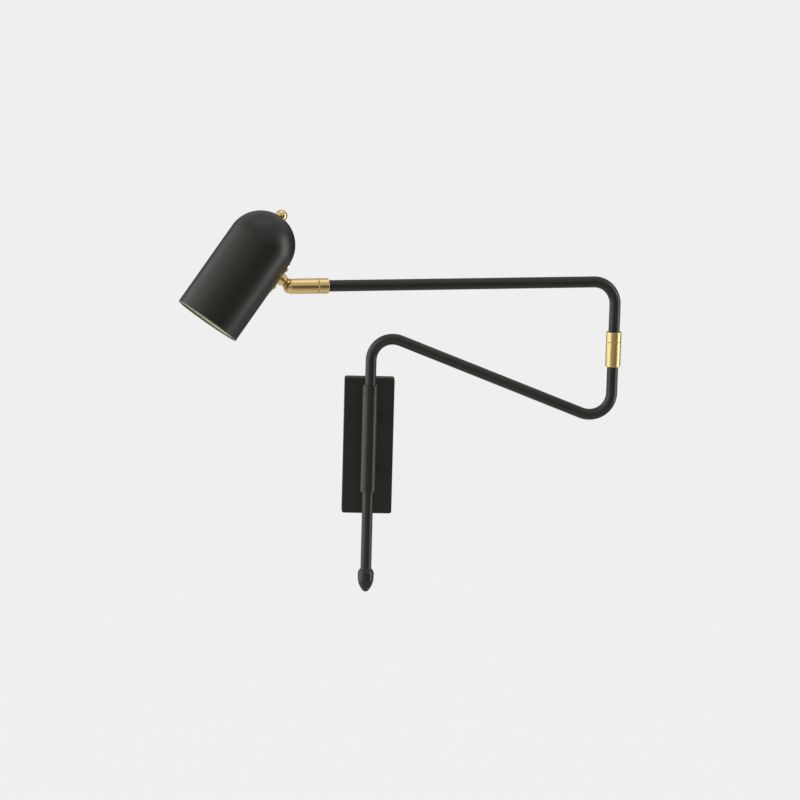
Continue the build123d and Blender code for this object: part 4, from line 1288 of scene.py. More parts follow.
class PanScrews(Tree):
    """Slotted pan-head screws, one on each point, facing its own way."""

    HEAD_SIDES = 36
    HEAD_RINGS = 14
    SHANK_SIDES = 24
    WELD = 0.002 * MM
    SLOT_REACH = 2.4

    def __init__(self) -> None:
        """Build the tree."""
        super().__init__("pan_screws", {
            "Head Radius": 2.75 * MM, "Head Height": 1.8 * MM, "Shank Radius": 1.5 * MM,
            "Shank Length": 6 * MM, "Slot Width": 0.8 * MM, "Slot Depth": 0.8 * MM,
            "Roundness": 4.0})
        length = self.given("Shank Length")
        rod = self.node("GeometryNodeMeshCylinder", {"fill_type": "TRIANGLE_FAN"},
                        {"Vertices": self.SHANK_SIDES, "Radius": self.given("Shank Radius"),
                         "Depth": length})
        screw = self.node("GeometryNodeJoinGeometry", None,
                          {"Geometry": [self._head(), self.shift_up(rod, length * -0.5)]})
        spots = self.node("GeometryNodeMeshToPoints", None, {"Mesh": self.given("Geometry")})
        self.close(self.node("GeometryNodeInstanceOnPoints", None,
                             {"Points": spots, "Instance": screw, "Rotation": self._stance()}))

    def _head(self) -> Signal:
        """The domed head with its slot, seat at the origin.

        Returns:
            The head's geometry.
        """
        radius, height, power = (self.given(label) for label in ("Head Radius", "Head Height",
                                                                 "Roundness"))
        disc = self.node("GeometryNodeMeshCylinder", {"fill_type": "TRIANGLE_FAN"},
                         {"Vertices": self.HEAD_SIDES, "Fill Segments": self.HEAD_RINGS,
                          "Radius": radius})
        x, y, z = self.split(self.node("GeometryNodeInputPosition"))
        out = ((x * x + y * y) ** 0.5 / radius).clamped()
        crown = (1.0 - out ** power).clamped() ** (1.0 / power)
        place = self.vector(x, y, crown * height * (z > 0.0))
        dome = self.node("GeometryNodeSetPosition", None, {"Geometry": disc, "Position": place})
        welded = self.node("GeometryNodeMergeByDistance", None,
                           {"Geometry": dome, "Distance": self.WELD})
        size = self.vector(radius * self.SLOT_REACH, self.given("Slot Width"),
                           self.given("Slot Depth") * 2)
        slot = self.shift_up(self.node("GeometryNodeMeshCube", None, {"Size": size}), height)
        return self.node("GeometryNodeMeshBoolean", {"operation": "DIFFERENCE", "solver": "EXACT"},
                         {"Mesh 1": welded, "Mesh 2": slot})

    def _stance(self) -> Signal:
        """Each screw's rotation: its facing, then its slot's turn.

        Returns:
            The rotation.
        """
        facing, turn = (self.node("GeometryNodeInputNamedAttribute", {"data_type": kind}, {"Name": name})
                        for kind, name in (("FLOAT_VECTOR", "facing"), ("FLOAT", "turn")))
        aimed = self.node("FunctionNodeAlignRotationToVector", {"axis": "Z"}, {"Vector": facing})
        spin = self.node("FunctionNodeAxisAngleToRotation", None, {"Axis": tuple(UP), "Angle": turn})
        return self.node("FunctionNodeRotateRotation", {"rotation_space": "LOCAL"},
                         {"Rotation": aimed, "Rotate By": spin})

    def set_in(self, seats: Sequence[tuple[Vector, Vector, float]], material: bpy.types.Material,
               **sizes: float) -> bpy.types.Mesh:
        """Set screws in their seats.

        Args:
            seats: The place, the facing and the slot's turn of each screw.
            material: Their finish.
            **sizes: The tree's inputs, with underscores for spaces.

        Returns:
            All the screws as one mesh.
        """
        places, facings, slot_turns = zip(*seats)
        spots = bpy.data.meshes.new("seats")
        spots.from_pydata([tuple(place) for place in places], [], [])
        spots.attributes.new("facing", "FLOAT_VECTOR", "POINT")
        spots.attributes["facing"].data.foreach_set("vector", [x for facing in facings for x in facing])
        spots.attributes.new("turn", "FLOAT", "POINT")
        spots.attributes["turn"].data.foreach_set("value", slot_turns)
        values = {label.replace("_", " ").title(): size for label, size in sizes.items()}
        return self.grow(spots, {**values, "Finish": material})


# ---------------------------------------------------------------------------- sub-assemblies
@dataclass
class SubAssembly:
    """What every sub-assembly is built with."""

    shop: Workshop
    finishes: Finishes
    linkage: Linkage

    def build(self) -> None:
        """Build and dress the whole sub-assembly."""
        raise NotImplementedError


@dataclass
class WallMount(SubAssembly):
    """Plate, posts, sleeve and what is behind the plate."""

    screws: PanScrews
    plate_wall: float = 1.5 * MM
    plate_corner: float = 2.5 * MM
    least_corner: float = 0.2 * MM
    plate_edge: float = 0.8 * MM
    edge_guard: float = 1.6
    inner_edge: float = 1.4
    corner_steps: int = 8
    edge_steps: int = 5
    sleeve_wall: float = 1.25 * MM
    sleeve_edge: float = 0.7 * MM
    bore_edge: float = 0.2 * MM
    sleeve_steps: int = 72
    post_edge: float = 0.5 * MM
    post_bite: float = 0.05 * MM
    post_steps: int = 48
    screw_height: float = 1.8 * MM
    screw_turns: tuple[float, float] = (0.4, 1.1)

    def build(self) -> None:
        """Build and dress the whole mount."""
        self.plate()
        self.post("upper_post")
        self.post("lower_post")
        self.sleeve()
        self.plate_fixings()
        keep, finishes = self.shop.keep, self.finishes
        keep(finishes.steel, "wall_bracket", "post_washers", "post_nut", "post_screw", "earth_screw")
        keep(finishes.black, "swing_stop_screw")
        keep(finishes.brass_upright_shaded, "post_nipple")
        keep(finishes.nylon, "upper_bush", "lower_bush")
        keep(finishes.white, "terminal_block")
        keep(finishes.sheath, "feed_wire")

    def plate(self) -> None:
        """The pressed plate: a shallow tray whose front edge is rounded."""
        low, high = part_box("backplate")
        depth, wall, edge = high.y - low.y, self.plate_wall, self.plate_edge
        quarter = [math.pi / 2 * step / self.edge_steps for step in range(self.edge_steps + 1)]
        rounding = [(depth - edge * (1 - math.sin(turn)), edge * (1 - math.cos(turn)), 1.0)
                    for turn in quarter]
        face_inset = self.plate_corner * 2
        tray = self._plate_skin([(0.0, 0.0, 0.0), (depth / 2, 0.0, 0.0), *rounding,
                                 (depth, edge * self.edge_guard, 0.0), (depth, face_inset, 0.0)])
        turned_in = wall * self.inner_edge
        hollow = self._plate_skin([(depth - wall, face_inset, 0.0), (depth - wall, turned_in, 0.0),
                                   (depth - turned_in, wall, 0.0), (0.0, wall, 0.0)])
        count = 4 * (self.corner_steps + 1)
        face = len(tray.points) - count
        tray.add(hollow)
        rim = len(tray.points) - count
        tray.cap(face, face + count, count=count)
        tray.bridge(range(count), range(rim, rim + count))
        self.shop.piece("plate_pressed", tray.mesh("plate_pressed"), self.finishes.black,
                        Body.WALL_MOUNT, Slot.BLACK_METAL, "backplate")

    def _plate_skin(self, stations: Sequence[tuple[float, float, float]]) -> Draft:
        """Skin outlines of the plate.

        Args:
            stations: Each outline's distance from the wall, its inset and its wear.

        Returns:
            The skin, open at both ends.
        """
        low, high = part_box("backplate")
        width, height, middle_z = high.x - low.x, high.z - low.z, (low.z + high.z) / 2
        rings = []
        for out, inset, _ in stations:
            corner = max(self.plate_corner - inset, self.least_corner)
            outline = rounded_outline(width - 2 * inset, height - 2 * inset, corner, self.corner_steps)
            rings.append([Vector((x, -out, middle_z + z)) for x, z in outline])
        return loft(rings, [[wear] * len(rings[0]) for _, _, wear in stations])

    def post(self, node: str) -> None:
        """One round post whose end follows the sleeve.

        Args:
            node: The post's node.
        """
        sleeve = Upright.of("pivot_sleeve")
        low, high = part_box(node)
        foot = Vector((0.0, high.y, (low.z + high.z) / 2))
        radius = (high.x - low.x) / 2

        def meeting(x: float) -> float:
            """How far out the post ends, at a distance from its upright middle plane."""
            return sleeve.foot.y + math.sqrt(sleeve.radius ** 2 - x * x) - self.post_bite

        def ring(size: float, meets: bool) -> list[Vector]:
            """A circle at the plate, or where the post meets the sleeve."""
            spokes = [(size * math.cos(t), size * math.sin(t)) for t in turns(self.post_steps)]
            return [Vector((x, meeting(x) if meets else foot.y, foot.z + z)) for x, z in spokes]

        sections = [[foot], ring(radius - self.post_edge, False), ring(radius, False),
                    ring(radius, True), [Vector((0.0, meeting(0.0), foot.z))]]
        draft = loft(sections, [[0.0] * len(section) for section in sections])
        self.shop.piece(node + "_turned", draft.mesh(node), self.finishes.black,
                        Body.WALL_MOUNT, Slot.BLACK_METAL, node)

    def sleeve(self) -> None:
        """The upright sleeve, a tube with softened ends."""
        sleeve = Upright.of("pivot_sleeve")
        bore = sleeve.radius - self.sleeve_wall
        corners = [Corner(bore, 0.0, self.bore_edge), Corner(sleeve.radius, 0.0, self.sleeve_edge),
                   Corner(sleeve.radius, sleeve.length, self.sleeve_edge),
                   Corner(bore, sleeve.length, self.bore_edge)]
        shape = turned_ring("sleeve", corners, sleeve.axes(self.linkage.lower_dir), self.sleeve_steps)
        shape = self.shop.cut(shape, screw_hole("swing_stop_screw", Vector((0.0, 1.0, 0.0))))
        self.shop.piece("sleeve_turned", shape, self.finishes.black, Body.WALL_MOUNT,
                        Slot.BLACK_METAL, "pivot_sleeve")

    def plate_fixings(self) -> None:
        """The two screws through the plate's ends, which stay black."""
        low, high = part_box("plate_screws")
        middle_y = (low.y + high.y) / 2
        top_turn, foot_turn = self.screw_turns
        seats = [(Vector((0.0, middle_y, high.z - self.screw_height)), UP, top_turn),
                 (Vector((0.0, middle_y, low.z + self.screw_height)), -UP, foot_turn)]
        self.shop.piece("plate_fixing_screws", self.screws.set_in(seats, self.finishes.black),
                        None, Body.WALL_MOUNT, Slot.BLACK_METAL, "plate_screws")


@dataclass
class LowerArm(SubAssembly):
    """The tube that turns in the sleeve, its collar, its acorn and the elbow's lower half."""

    tube: BentTube
    stock: TubeStock = TubeStock()
    shoulder_height: float = 136.2 * MM
    low_height: float = 47.2 * MM
    finial_waist: float = 8.3 * MM
    finial_cap: float = 0.955
    finial_nose: float = 0.80
    finial_tip: float = 2.3 * MM
    tip_flat: float = 0.6
    bulge_share: float = 0.6
    cap_steps: int = 14
    nose_steps: int = 22
    finial_steps: int = 64
    spigot_length: float = 10.0 * MM
    collar_edge: float = 0.25 * MM
    collar_top: float = 2.3 * MM
    collar_steps: int = 72
    top_steps: int = 10
    top_guard: float = 0.15
    thread_depth: float = 14.0 * MM
    tube_gap: float = 0.3 * MM
    brass_edge: float = 0.45 * MM
    mouth_edge: float = 0.15 * MM
    spindle_hole: float = 4.52 * MM
    brass_steps: int = 80

    def build(self) -> None:
        """Build and dress the whole lower arm."""
        self.arm_tube()
        self.shoulder_collar()
        self.acorn()
        self.elbow_barrel()
        keep, finishes = self.shop.keep, self.finishes
        keep(finishes.steel, "swing_stop_ring", "elbow_nut", "elbow_stop_pin")
        keep(finishes.black, "collar_grub_screw")
        keep(finishes.brass_upright_shaded, "elbow_spindle")
        keep(finishes.nylon, "elbow_washer")
        keep(finishes.sheath, "lower_arm_wire")

    def arm_tube(self) -> None:
        """The bent tube, from the acorn to inside the elbow's lower half."""
        link = self.linkage
        low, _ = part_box("lower_arm_tube")
        barrel = Upright.of("elbow_barrel")
        end_height = barrel.foot.z + barrel.length - self.thread_depth - self.tube_gap
        corners = [link.lower_point(reach, height) for reach, height in (
            (0.0, low.z), (0.0, self.shoulder_height), (link.lower_reach, self.low_height),
            (link.lower_reach, end_height))]
        self.shop.piece("lower_arm_bent", self.tube.along(corners, self.stock, self.finishes.black),
                        None, Body.LOWER_ARM, Slot.BLACK_METAL, "lower_arm_tube")

    def shoulder_collar(self) -> None:
        """The collar on top of the sleeve, with a rounded top and its set screw's hole."""
        collar = Upright.of("shoulder_collar")
        bore = self.stock.socket
        corners = [Corner(bore, 0.0), Corner(collar.radius, 0.0, self.collar_edge),
                   Corner(collar.radius, collar.length, self.collar_top), Corner(bore, collar.length)]
        shape = turned_ring("collar", corners, collar.axes(self.linkage.lower_dir),
                            self.collar_steps, self.top_steps, self.top_guard)
        outward = (middle_of("collar_grub_screw") - collar.foot) * Vector((1.0, 1.0, 0.0))
        shape = self.shop.cut(shape, screw_hole("collar_grub_screw", outward))
        self.shop.piece("shoulder_collar_turned", shape, self.finishes.black, Body.LOWER_ARM,
                        Slot.BLACK_METAL, "shoulder_collar")

    def acorn(self) -> None:
        """The acorn at the rod's foot: a short cap above a longer nose."""
        finial = Upright.of("rod_finial")
        radius, tip_z = finial.radius, finial.foot.z
        rod_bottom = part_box("lower_arm_tube")[0].z
        waist = rod_bottom - self.finial_waist
        cap = arc_through((self.stock.radius, rod_bottom),
                          (radius * self.finial_cap, waist + self.finial_waist * self.bulge_share),
                          (radius, waist), self.cap_steps)
        nose = arc_through((radius, waist),
                           (radius * self.finial_nose, waist - (waist - tip_z) * self.bulge_share),
                           (self.finial_tip, tip_z), self.nose_steps)
        spigot, top = self.stock.plug, rod_bottom + self.spigot_length
        profile = [(0.0, top, 0.0), (spigot, top, 0.0), (spigot, rod_bottom, 0.0), *cap, *nose[1:],
                   (self.finial_tip * self.tip_flat, tip_z, 0.0), (0.0, tip_z, 0.0)]
        axes = Axes.along(self.linkage.lower_point(0.0, 0.0), UP, self.linkage.lower_dir)
        self.shop.piece("rod_acorn", revolve(profile, self.finial_steps, False).mesh("acorn", axes),
                        self.finishes.black, Body.LOWER_ARM, Slot.BLACK_METAL, "rod_finial")

    def elbow_barrel(self) -> None:
        """The elbow's brass lower half."""
        barrel = Upright.of("elbow_barrel")
        bore, step = self.stock.socket, barrel.length - self.thread_depth
        corners = [Corner(bore, 0.0, self.mouth_edge), Corner(barrel.radius, 0.0, self.brass_edge),
                   Corner(barrel.radius, barrel.length, self.brass_edge),
                   Corner(self.spindle_hole, barrel.length), Corner(self.spindle_hole, step),
                   Corner(bore, step)]
        shape = turned_ring("barrel", corners, barrel.axes(self.linkage.lower_dir), self.brass_steps)
        self.shop.piece("elbow_barrel_turned", shape, self.finishes.brass_upright_shaded, Body.LOWER_ARM,
                        Slot.BRASS, "elbow_barrel")


@dataclass
class UpperArm(SubAssembly):
    """The second tube with its two brass collars."""

    tube: BentTube
    stock: TubeStock = TubeStock()
    tube_gap: float = 7.0 * MM
    washer: float = 0.3 * MM
    collar_length: float = 11.0 * MM
    collar_floor: float = 2.5 * MM
    brass_radius: float = 8.1 * MM
    brass_edge: float = 0.45 * MM
    mouth_edge: float = 0.15 * MM
    brass_steps: int = 80
    spindle_hole: float = 4.55 * MM
    hole_reach: float = 10 * MM

    def build(self) -> None:
        """Build and dress the whole upper arm."""
        link = self.linkage
        height = link.head_seam.z
        reach = (link.head_seam - link.elbow).dot(link.upper_dir)
        corners = [link.upper_point(0.0, link.elbow.z + self.tube_gap), link.upper_point(0.0, height),
                   link.upper_point(reach - self.tube_gap, height)]
        self.shop.piece("upper_arm_bent", self.tube.along(corners, self.stock, self.finishes.black),
                        None, Body.UPPER_ARM, Slot.BLACK_METAL, "upper_arm_tube")
        self.collar("elbow_collar", Axes.along(link.elbow, UP, link.upper_dir),
                    self.finishes.brass_upright_shaded)
        self.collar("head_collar", Axes.along(link.head_seam, -link.upper_dir, UP),
                    self.finishes.brass_arm)
        self.shop.keep(self.finishes.brass_arm, "arm_grub_screws")
        self.shop.keep(self.finishes.sheath, "upper_arm_wire")

    def collar(self, node: str, axes: Axes, material: bpy.types.Material) -> None:
        """One brass collar with its set screw's hole.

        Args:
            node: The node that it stands for.
            axes: Its seam and its axis, away from the joint.
            material: Its finish.
        """
        bore, floor = self.stock.socket, self.washer + self.collar_floor
        corners = [Corner(self.spindle_hole, self.washer),
                   Corner(self.brass_radius, self.washer, self.brass_edge),
                   Corner(self.brass_radius, self.collar_length, self.brass_edge),
                   Corner(bore, self.collar_length, self.mouth_edge), Corner(bore, floor),
                   Corner(self.spindle_hole, floor)]
        screw_place = axes.at(z=(self.tube_gap + self.collar_length) / 2)
        outward = self.linkage.upper_dir.cross(UP)
        hole = drum(Axes.along(screw_place, outward, axes.z), SCREW_HOLE, self.stock.radius,
                    self.hole_reach)
        shape = self.shop.cut(turned_ring(node, corners, axes, self.brass_steps), hole)
        self.shop.piece(node + "_turned", shape, material, Body.UPPER_ARM, Slot.BRASS, node)


@dataclass
class Swivel(SubAssembly):
    """The brass barrel with the slotted round nose that the knuckle tilts in."""

    radius: float = 8.1 * MM
    edge: float = 0.45 * MM
    nose_steps: int = 26
    brass_steps: int = 80
    bore: float = 3.0 * MM
    bore_mouth: float = 1.0 * MM
    slot_width: float = 5.0 * MM
    slot_behind: float = 7.0 * MM
    screw_hole: float = 2.02 * MM
    screw_skin: float = 1.8 * MM
    recess_radius: float = 3.5 * MM
    recess_depth: float = 2.4 * MM

    def build(self) -> None:
        """Build and dress the whole swivel."""
        link, radius = self.linkage, self.radius
        length = (link.pivot - link.head_seam).length
        axes = Axes.along(link.head_seam, link.upper_dir, link.hinge_dir)
        seam = round_corners([Corner(0.0, 0.0), Corner(radius, 0.0, self.edge),
                              Corner(radius, length)], False)
        profile = [*seam[:-1], *half_ball(length, radius, 0.0, self.nose_steps)]
        body = revolve(profile, self.brass_steps, False).mesh("nose", axes)
        half, slot_end = self.slot_width / 2, length - self.slot_behind
        slot = block(axes, (-half, -2 * radius, slot_end), (half, 2 * radius, length + 2 * radius))
        lead = drum(axes, self.bore, -self.bore_mouth, length - self.slot_behind / 2)
        hinge = Axes.along(link.pivot, link.hinge_dir, link.upper_dir)
        screw = drum(hinge, self.screw_hole, self.screw_skin - radius, radius)
        recess = drum(hinge, self.recess_radius, radius - self.recess_depth, 2 * radius)
        self.shop.piece("swivel_barrel_turned", self.shop.cut(body, slot, lead, screw, recess),
                        self.finishes.brass_arm, Body.SWIVEL, Slot.BRASS, "swivel_barrel")
        keep, finishes = self.shop.keep, self.finishes
        keep(finishes.brass_arm, "swivel_spindle", "tilt_screw")
        keep(finishes.steel, "swivel_nut", "swivel_stop_pin", "tilt_washers")
        keep(finishes.nylon, "swivel_washer")
        keep(finishes.sheath, "swivel_wire")


@dataclass
class Head(SubAssembly):
    """Knuckle, saddle, shade and the lamp inside it."""

    screws: PanScrews
    apex_height: float = 132.4 * MM
    shade_radius: float = 35.8 * MM
    shade_wall: float = 1.2 * MM
    barrel_length: float = 96.6 * MM
    rim_round: float = 0.58 * MM
    rim_steps: int = 6
    rim_blend: float = 30 * MM
    wall_row: float = 62 * MM
    overspray: Span = (1.5 * MM, 2.2 * MM)
    enamel_start: float = 1.1
    coat_wrap: float = 0.1 * MM
    dome_steps: int = 40
    hollow_steps: int = 36
    shade_steps: int = 128
    neck_hole: float = 4.1 * MM
    pivot_off_wall: float = 16.2 * MM
    knuckle_height: float = 80.6 * MM
    tongue_length: float = 9.2 * MM
    tongue_radius: float = 5.0 * MM
    tongue_thickness: float = 4.2 * MM
    tongue_edge: float = 0.35 * MM
    tongue_overlap: float = 0.4 * MM
    tongue_steps: int = 28
    edge_ease: float = 0.3
    boss_radius: float = 6.5 * MM
    boss_step_radius: float = 5.6 * MM
    boss_step: float = 1.6 * MM
    boss_edges: tuple[float, float, float] = (0.3 * MM, 0.1 * MM, 0.45 * MM)
    boss_steps: int = 64
    seat_depth: float = 0.9 * MM
    thread_radius: float = 4.0 * MM
    thread_length: float = 5.2 * MM
    thread_edge: float = 0.4 * MM
    saddle_length: float = 37.0 * MM
    saddle_width: float = 15.0 * MM
    saddle_thickness: float = 1.2 * MM
    saddle_edge: float = 0.35 * MM
    saddle_steps: int = 56
    across_steps: int = 12
    edge_steps: int = 4
    saddle_spacing: float = 21.5 * MM
    screw_shank: float = 4.5 * MM
    screw_turns: tuple[float, float] = (0.5, 1.3)
    lamp_recess: float = 25.6 * MM
    lens_radius: float = 22.6 * MM
    lens_rings: int = 10
    lens_back: float = 3.0 * MM
    lens_rim: float = 1.1 * MM
    lens_valley: float = 1.0 * MM
    lens_crest: float = 0.35 * MM
    crest_rise: float = 0.25 * MM
    crest_width: float = 0.35
    crest_fall: float = 0.2 * MM
    lens_middle: float = 0.4 * MM
    middle_rings: float = 1.5
    lens_border: float = 0.4 * MM
    valley_width: float = 0.1 * MM
    lens_steps: int = 72
    shade_axes: Axes = field(init=False)
    saddle_axes: Axes = field(init=False)
    saddle_bed: float = field(init=False)

    def __post_init__(self) -> None:
        """Place the shade's frame at its mouth, and the saddle's under the knuckle."""
        link = self.linkage
        mouth = link.apex - link.shade_dir * self.apex_height
        self.shade_axes = Axes.along(mouth, link.shade_dir, link.reach_dir)
        self.saddle_axes = self.shade_axes.moved(z=self.knuckle_height)
        self.saddle_bed = self.shade_radius + CLEARANCE

    def build(self) -> None:
        """Build and dress the whole head."""
        self.shade()
        self.saddle()
        self.knuckle()
        self.saddle_fixings()
        self.lens()
        keep, finishes = self.shop.keep, self.finishes
        keep(finishes.lamp, "lamp_body")
        keep(finishes.steel, "saddle_nuts", "knuckle_nut", "holder_strap", "holder_screws", "lamp_pins")
        keep(finishes.nylon, "switch_body")
        keep(finishes.brass_knob, "dome_spacer", "switch_nut")
        keep(finishes.ceramic, "lamp_holder")
        keep(finishes.sheath, "head_wire", "lamp_leads")

    def shade(self) -> None:
        """The bullet shade: barrel, half-ball, softened rim and pale inside."""
        outer, inner = self.shade_radius, self.shade_radius - self.shade_wall
        spray_low, spray_high = self.overspray
        # The rim's rounded corners carry wear 1. The shade's paint turns this into bare metal and a
        # painted highlight line.
        rim = round_corners([Corner(inner, self.rim_blend), Corner(inner, spray_high),
                             Corner(inner, spray_low), Corner(inner, 0.0, self.rim_round),
                             Corner(outer, 0.0, self.rim_round), Corner(outer, self.rim_blend)],
                            False, self.rim_steps)
        centre = (0.0, self.barrel_length)
        dome = arc_points(centre, outer, 0.0, math.acos(self.neck_hole / outer), self.dome_steps)
        hollow = arc_points(centre, inner, math.acos(self.neck_hole / inner), 0.0, self.hollow_steps)
        profile = [*rim, (outer, self.wall_row, 0.0), *dome, *hollow, (inner, self.wall_row, 0.0)]
        parting = (outer + inner) / 2 - self.coat_wrap

        def is_inner(radius: float, height: float) -> bool:
            """Whether a profile point lies on the enamelled inner face."""
            rise = max(0.0, height - self.barrel_length)
            return math.hypot(radius, rise) < parting and height > spray_low * self.enamel_start

        shape = revolve(profile, self.shade_steps, True, is_inner).mesh("shade", self.shade_axes)
        self.shop.piece("shade_spun", shape, self.finishes.shade, Body.HEAD, Slot.SHADE_PAINT, "shade")

    def saddle(self) -> None:
        """The oval plate that lies on the shade under the knuckle."""
        half_width, half_length = self.saddle_width / 2, self.saddle_length / 2
        middle = self.saddle_bed + self.saddle_thickness / 2
        sections, worn = [[self._on_shade(-half_length, 0.0, middle)]], [[1.0]]
        for i in range(1, self.saddle_steps):
            along = -half_length * math.cos(math.pi * i / self.saddle_steps)
            over = max(0.0, abs(along) - (half_length - half_width))
            section, marks = self._saddle_section(along, math.sqrt(half_width ** 2 - over ** 2))
            sections.append(section)
            worn.append(marks)
        sections.append([self._on_shade(half_length, 0.0, middle)])
        worn.append([1.0])
        self.shop.piece("saddle_pressed", loft(sections, worn).mesh("saddle"),
                        self.finishes.brass_knuckle, Body.HEAD, Slot.BRASS, "saddle_plate")

    def _saddle_section(self, along: float, half: float) -> tuple[list[Vector], list[float]]:
        """Lay out one closed cross-section of the saddle plate.

        Args:
            along: Its place on the plate's length.
            half: Half the plate's width there.

        Returns:
            Its points and their wear.
        """
        soft = min(self.saddle_edge, half / 2)
        flat = half - soft
        points: list[Vector] = []
        marks: list[float] = []
        for side, level in ((1, self.saddle_bed + self.saddle_thickness), (-1, self.saddle_bed)):
            for k in range(self.across_steps + 1):
                across = (1 - 2 * k / self.across_steps) * side * flat
                points.append(self._on_shade(along, across, level))
                marks.append(0.0)
            for step in range(1, self.edge_steps):
                turn = math.pi / 2 * step / self.edge_steps
                points.append(self._on_shade(along, -side * (flat + soft * math.sin(turn)),
                                             level - side * soft * (1 - math.cos(turn))))
                marks.append(1.0)
        return points, marks

    def _on_shade(self, along: float, across: float, radius: float) -> Vector:
        """A point over the shade's wall on the arm's side."""
        return self.saddle_axes.at(-math.sqrt(radius ** 2 - across ** 2), across, along)

    def knuckle(self) -> None:
        """The boss, its step, the flat tongue and the thread that holds the saddle."""
        link = self.linkage
        seat = self.pivot_off_wall - self.saddle_thickness + self.seat_depth
        end, shoulder = self.pivot_off_wall + self.thread_length, self.tongue_length + self.boss_step
        front, step, back = self.boss_edges
        corners = [Corner(0.0, self.tongue_length),
                   Corner(self.boss_step_radius, self.tongue_length, front),
                   Corner(self.boss_step_radius, shoulder, step),
                   Corner(self.boss_radius, shoulder, back), Corner(self.boss_radius, seat),
                   Corner(self.thread_radius, seat), Corner(self.thread_radius, end, self.thread_edge),
                   Corner(0.0, end)]
        boss = revolve(round_corners(corners, False), self.boss_steps, False)
        shape = Draft().add(boss, Axes.along(link.pivot, link.reach_dir, link.hinge_dir))
        shape.add(self._tongue(), Axes.along(link.pivot, link.hinge_dir, link.reach_dir))
        self.shop.piece("knuckle_turned", shape.mesh("knuckle"), self.finishes.brass_knuckle,
                        Body.HEAD, Slot.BRASS, "knuckle")

    def _tongue(self) -> Draft:
        """Shape the flat tongue with its round end, thick along the hinge.

        Returns:
            The closed tongue.
        """
        half, soft = self.tongue_thickness / 2, self.tongue_edge
        eased = soft * self.edge_ease
        rise = [(half - soft, 0.0, 0.0), (half - eased, eased, 1.0), (half, soft, 1.0)]
        drop = [(-level, inset, mark) for level, inset, mark in reversed(rise)]
        reach = self.tongue_length + self.tongue_overlap
        bow = [math.pi / 2 + math.pi * i / self.tongue_steps for i in range(self.tongue_steps + 1)]
        sections, worn = [], []
        for level, inset, mark in (*drop, *rise):
            radius = self.tongue_radius - inset
            ring = [Vector((radius * math.cos(t), radius * math.sin(t), level)) for t in bow]
            ring += [Vector((reach, side * radius, level)) for side in (-1, 1)]
            sections.append(ring)
            worn.append([mark] * len(ring))
        draft = loft(sections, worn)
        count = len(sections[0])
        draft.cap(0, len(draft.points) - count, count=count)
        return draft

    def saddle_fixings(self) -> None:
        """The two slotted screws of the saddle plate."""
        facing = -self.linkage.reach_dir
        seats = [(self._on_shade(side * self.saddle_spacing / 2, 0.0,
                                 self.saddle_bed + self.saddle_thickness), facing, turn)
                 for side, turn in zip((1, -1), self.screw_turns)]
        shape = self.screws.set_in(seats, self.finishes.brass_screw, shank_length=self.screw_shank)
        self.shop.piece("saddle_fixing_screws", shape, None, Body.HEAD, Slot.BRASS, "saddle_screws")

    def lens(self) -> None:
        """The lamp's lens, moulded in fine steps."""
        back, rim, valley = (self.lamp_recess + depth
                             for depth in (self.lens_back, self.lens_rim, self.lens_valley))
        profile = [(0.0, back, 0.0), (self.lens_radius, back, 0.0), (self.lens_radius, rim, 0.0)]
        pitch = self.lens_radius / (self.lens_rings + self.middle_rings)
        for ring in range(self.lens_rings):
            outer = self.lens_radius - self.lens_border - ring * pitch
            crest = self.lamp_recess + self.lens_crest + self.crest_rise * ring / self.lens_rings
            profile += [(outer, valley, 0.0), (outer - pitch * self.crest_width, crest, 0.0),
                        (outer - pitch + self.valley_width, crest + self.crest_fall, 0.0)]
        profile.append((0.0, self.lamp_recess + self.lens_middle, 0.0))
        shape = revolve(profile, self.lens_steps, False).mesh("lens", self.shade_axes)
        self.shop.piece("lamp_lens_stepped", shape, self.finishes.lens, Body.HEAD, Slot.LENS_GLASS,
                        "lamp_lens")


@dataclass
class Knob(SubAssembly):
    """The ball knob of the switch and its shaft."""

    radius: float = 6.25 * MM
    centre_rise: float = 1.25 * MM
    ball_steps: int = 30
    around: int = 64
    gap: float = 0.35 * MM
    recess_radius: float = 5.5 * MM
    recess_depth: float = 1.75 * MM
    shaft_hole: float = 2.52 * MM
    shaft_grip: float = 3.5 * MM

    def build(self) -> None:
        """Build and dress the knob."""
        link = self.linkage
        axes = Axes.along(link.apex, link.shade_dir, link.reach_dir)
        start = math.asin((self.gap - self.centre_rise) / self.radius)
        floor = self.gap + self.recess_depth
        grip = floor + self.shaft_grip
        profile = [(0.0, grip, 0.0), (self.shaft_hole, grip, 0.0), (self.shaft_hole, floor, 0.0),
                   (self.recess_radius, floor, 0.0), (self.recess_radius, self.gap, 0.0),
                   *half_ball(self.centre_rise, self.radius, start, self.ball_steps)]
        self.shop.piece("knob_ball", revolve(profile, self.around, False).mesh("ball", axes),
                        self.finishes.brass_knob, Body.KNOB, Slot.BRASS, "switch_knob")
        self.shop.keep(self.finishes.steel, "switch_shaft")


# ---------------------------------------------------------------------------- studio
@dataclass(frozen=True)
class Softbox:
    """A rectangular lamp of the studio that faces a point."""

    name: str
    azimuth: float
    elevation: float
    distance: float
    width: float
    height: float
    radiance: float
    tint: Colour = (1.0, 0.995, 0.975)

    def hang(self, target: Vector) -> None:
        """Hang the lamp.

        Args:
            target: The point that it faces.
        """
        turn, rise = math.radians(self.azimuth), math.radians(self.elevation)
        away = Vector((math.sin(turn) * math.cos(rise), -math.cos(turn) * math.cos(rise),
                       math.sin(rise)))
        data = bpy.data.lights.new(self.name, "AREA")
        data.shape = "RECTANGLE"
        data.size, data.size_y = self.width, self.height
        data.energy = self.radiance * math.pi * self.width * self.height
        data.color = self.tint
        lamp = bpy.data.objects.new(self.name, data)
        lamp.location = target + away * self.distance
        lamp.rotation_euler = away.to_track_quat("Z", "Y").to_euler()
        bpy.context.scene.collection.objects.link(lamp)


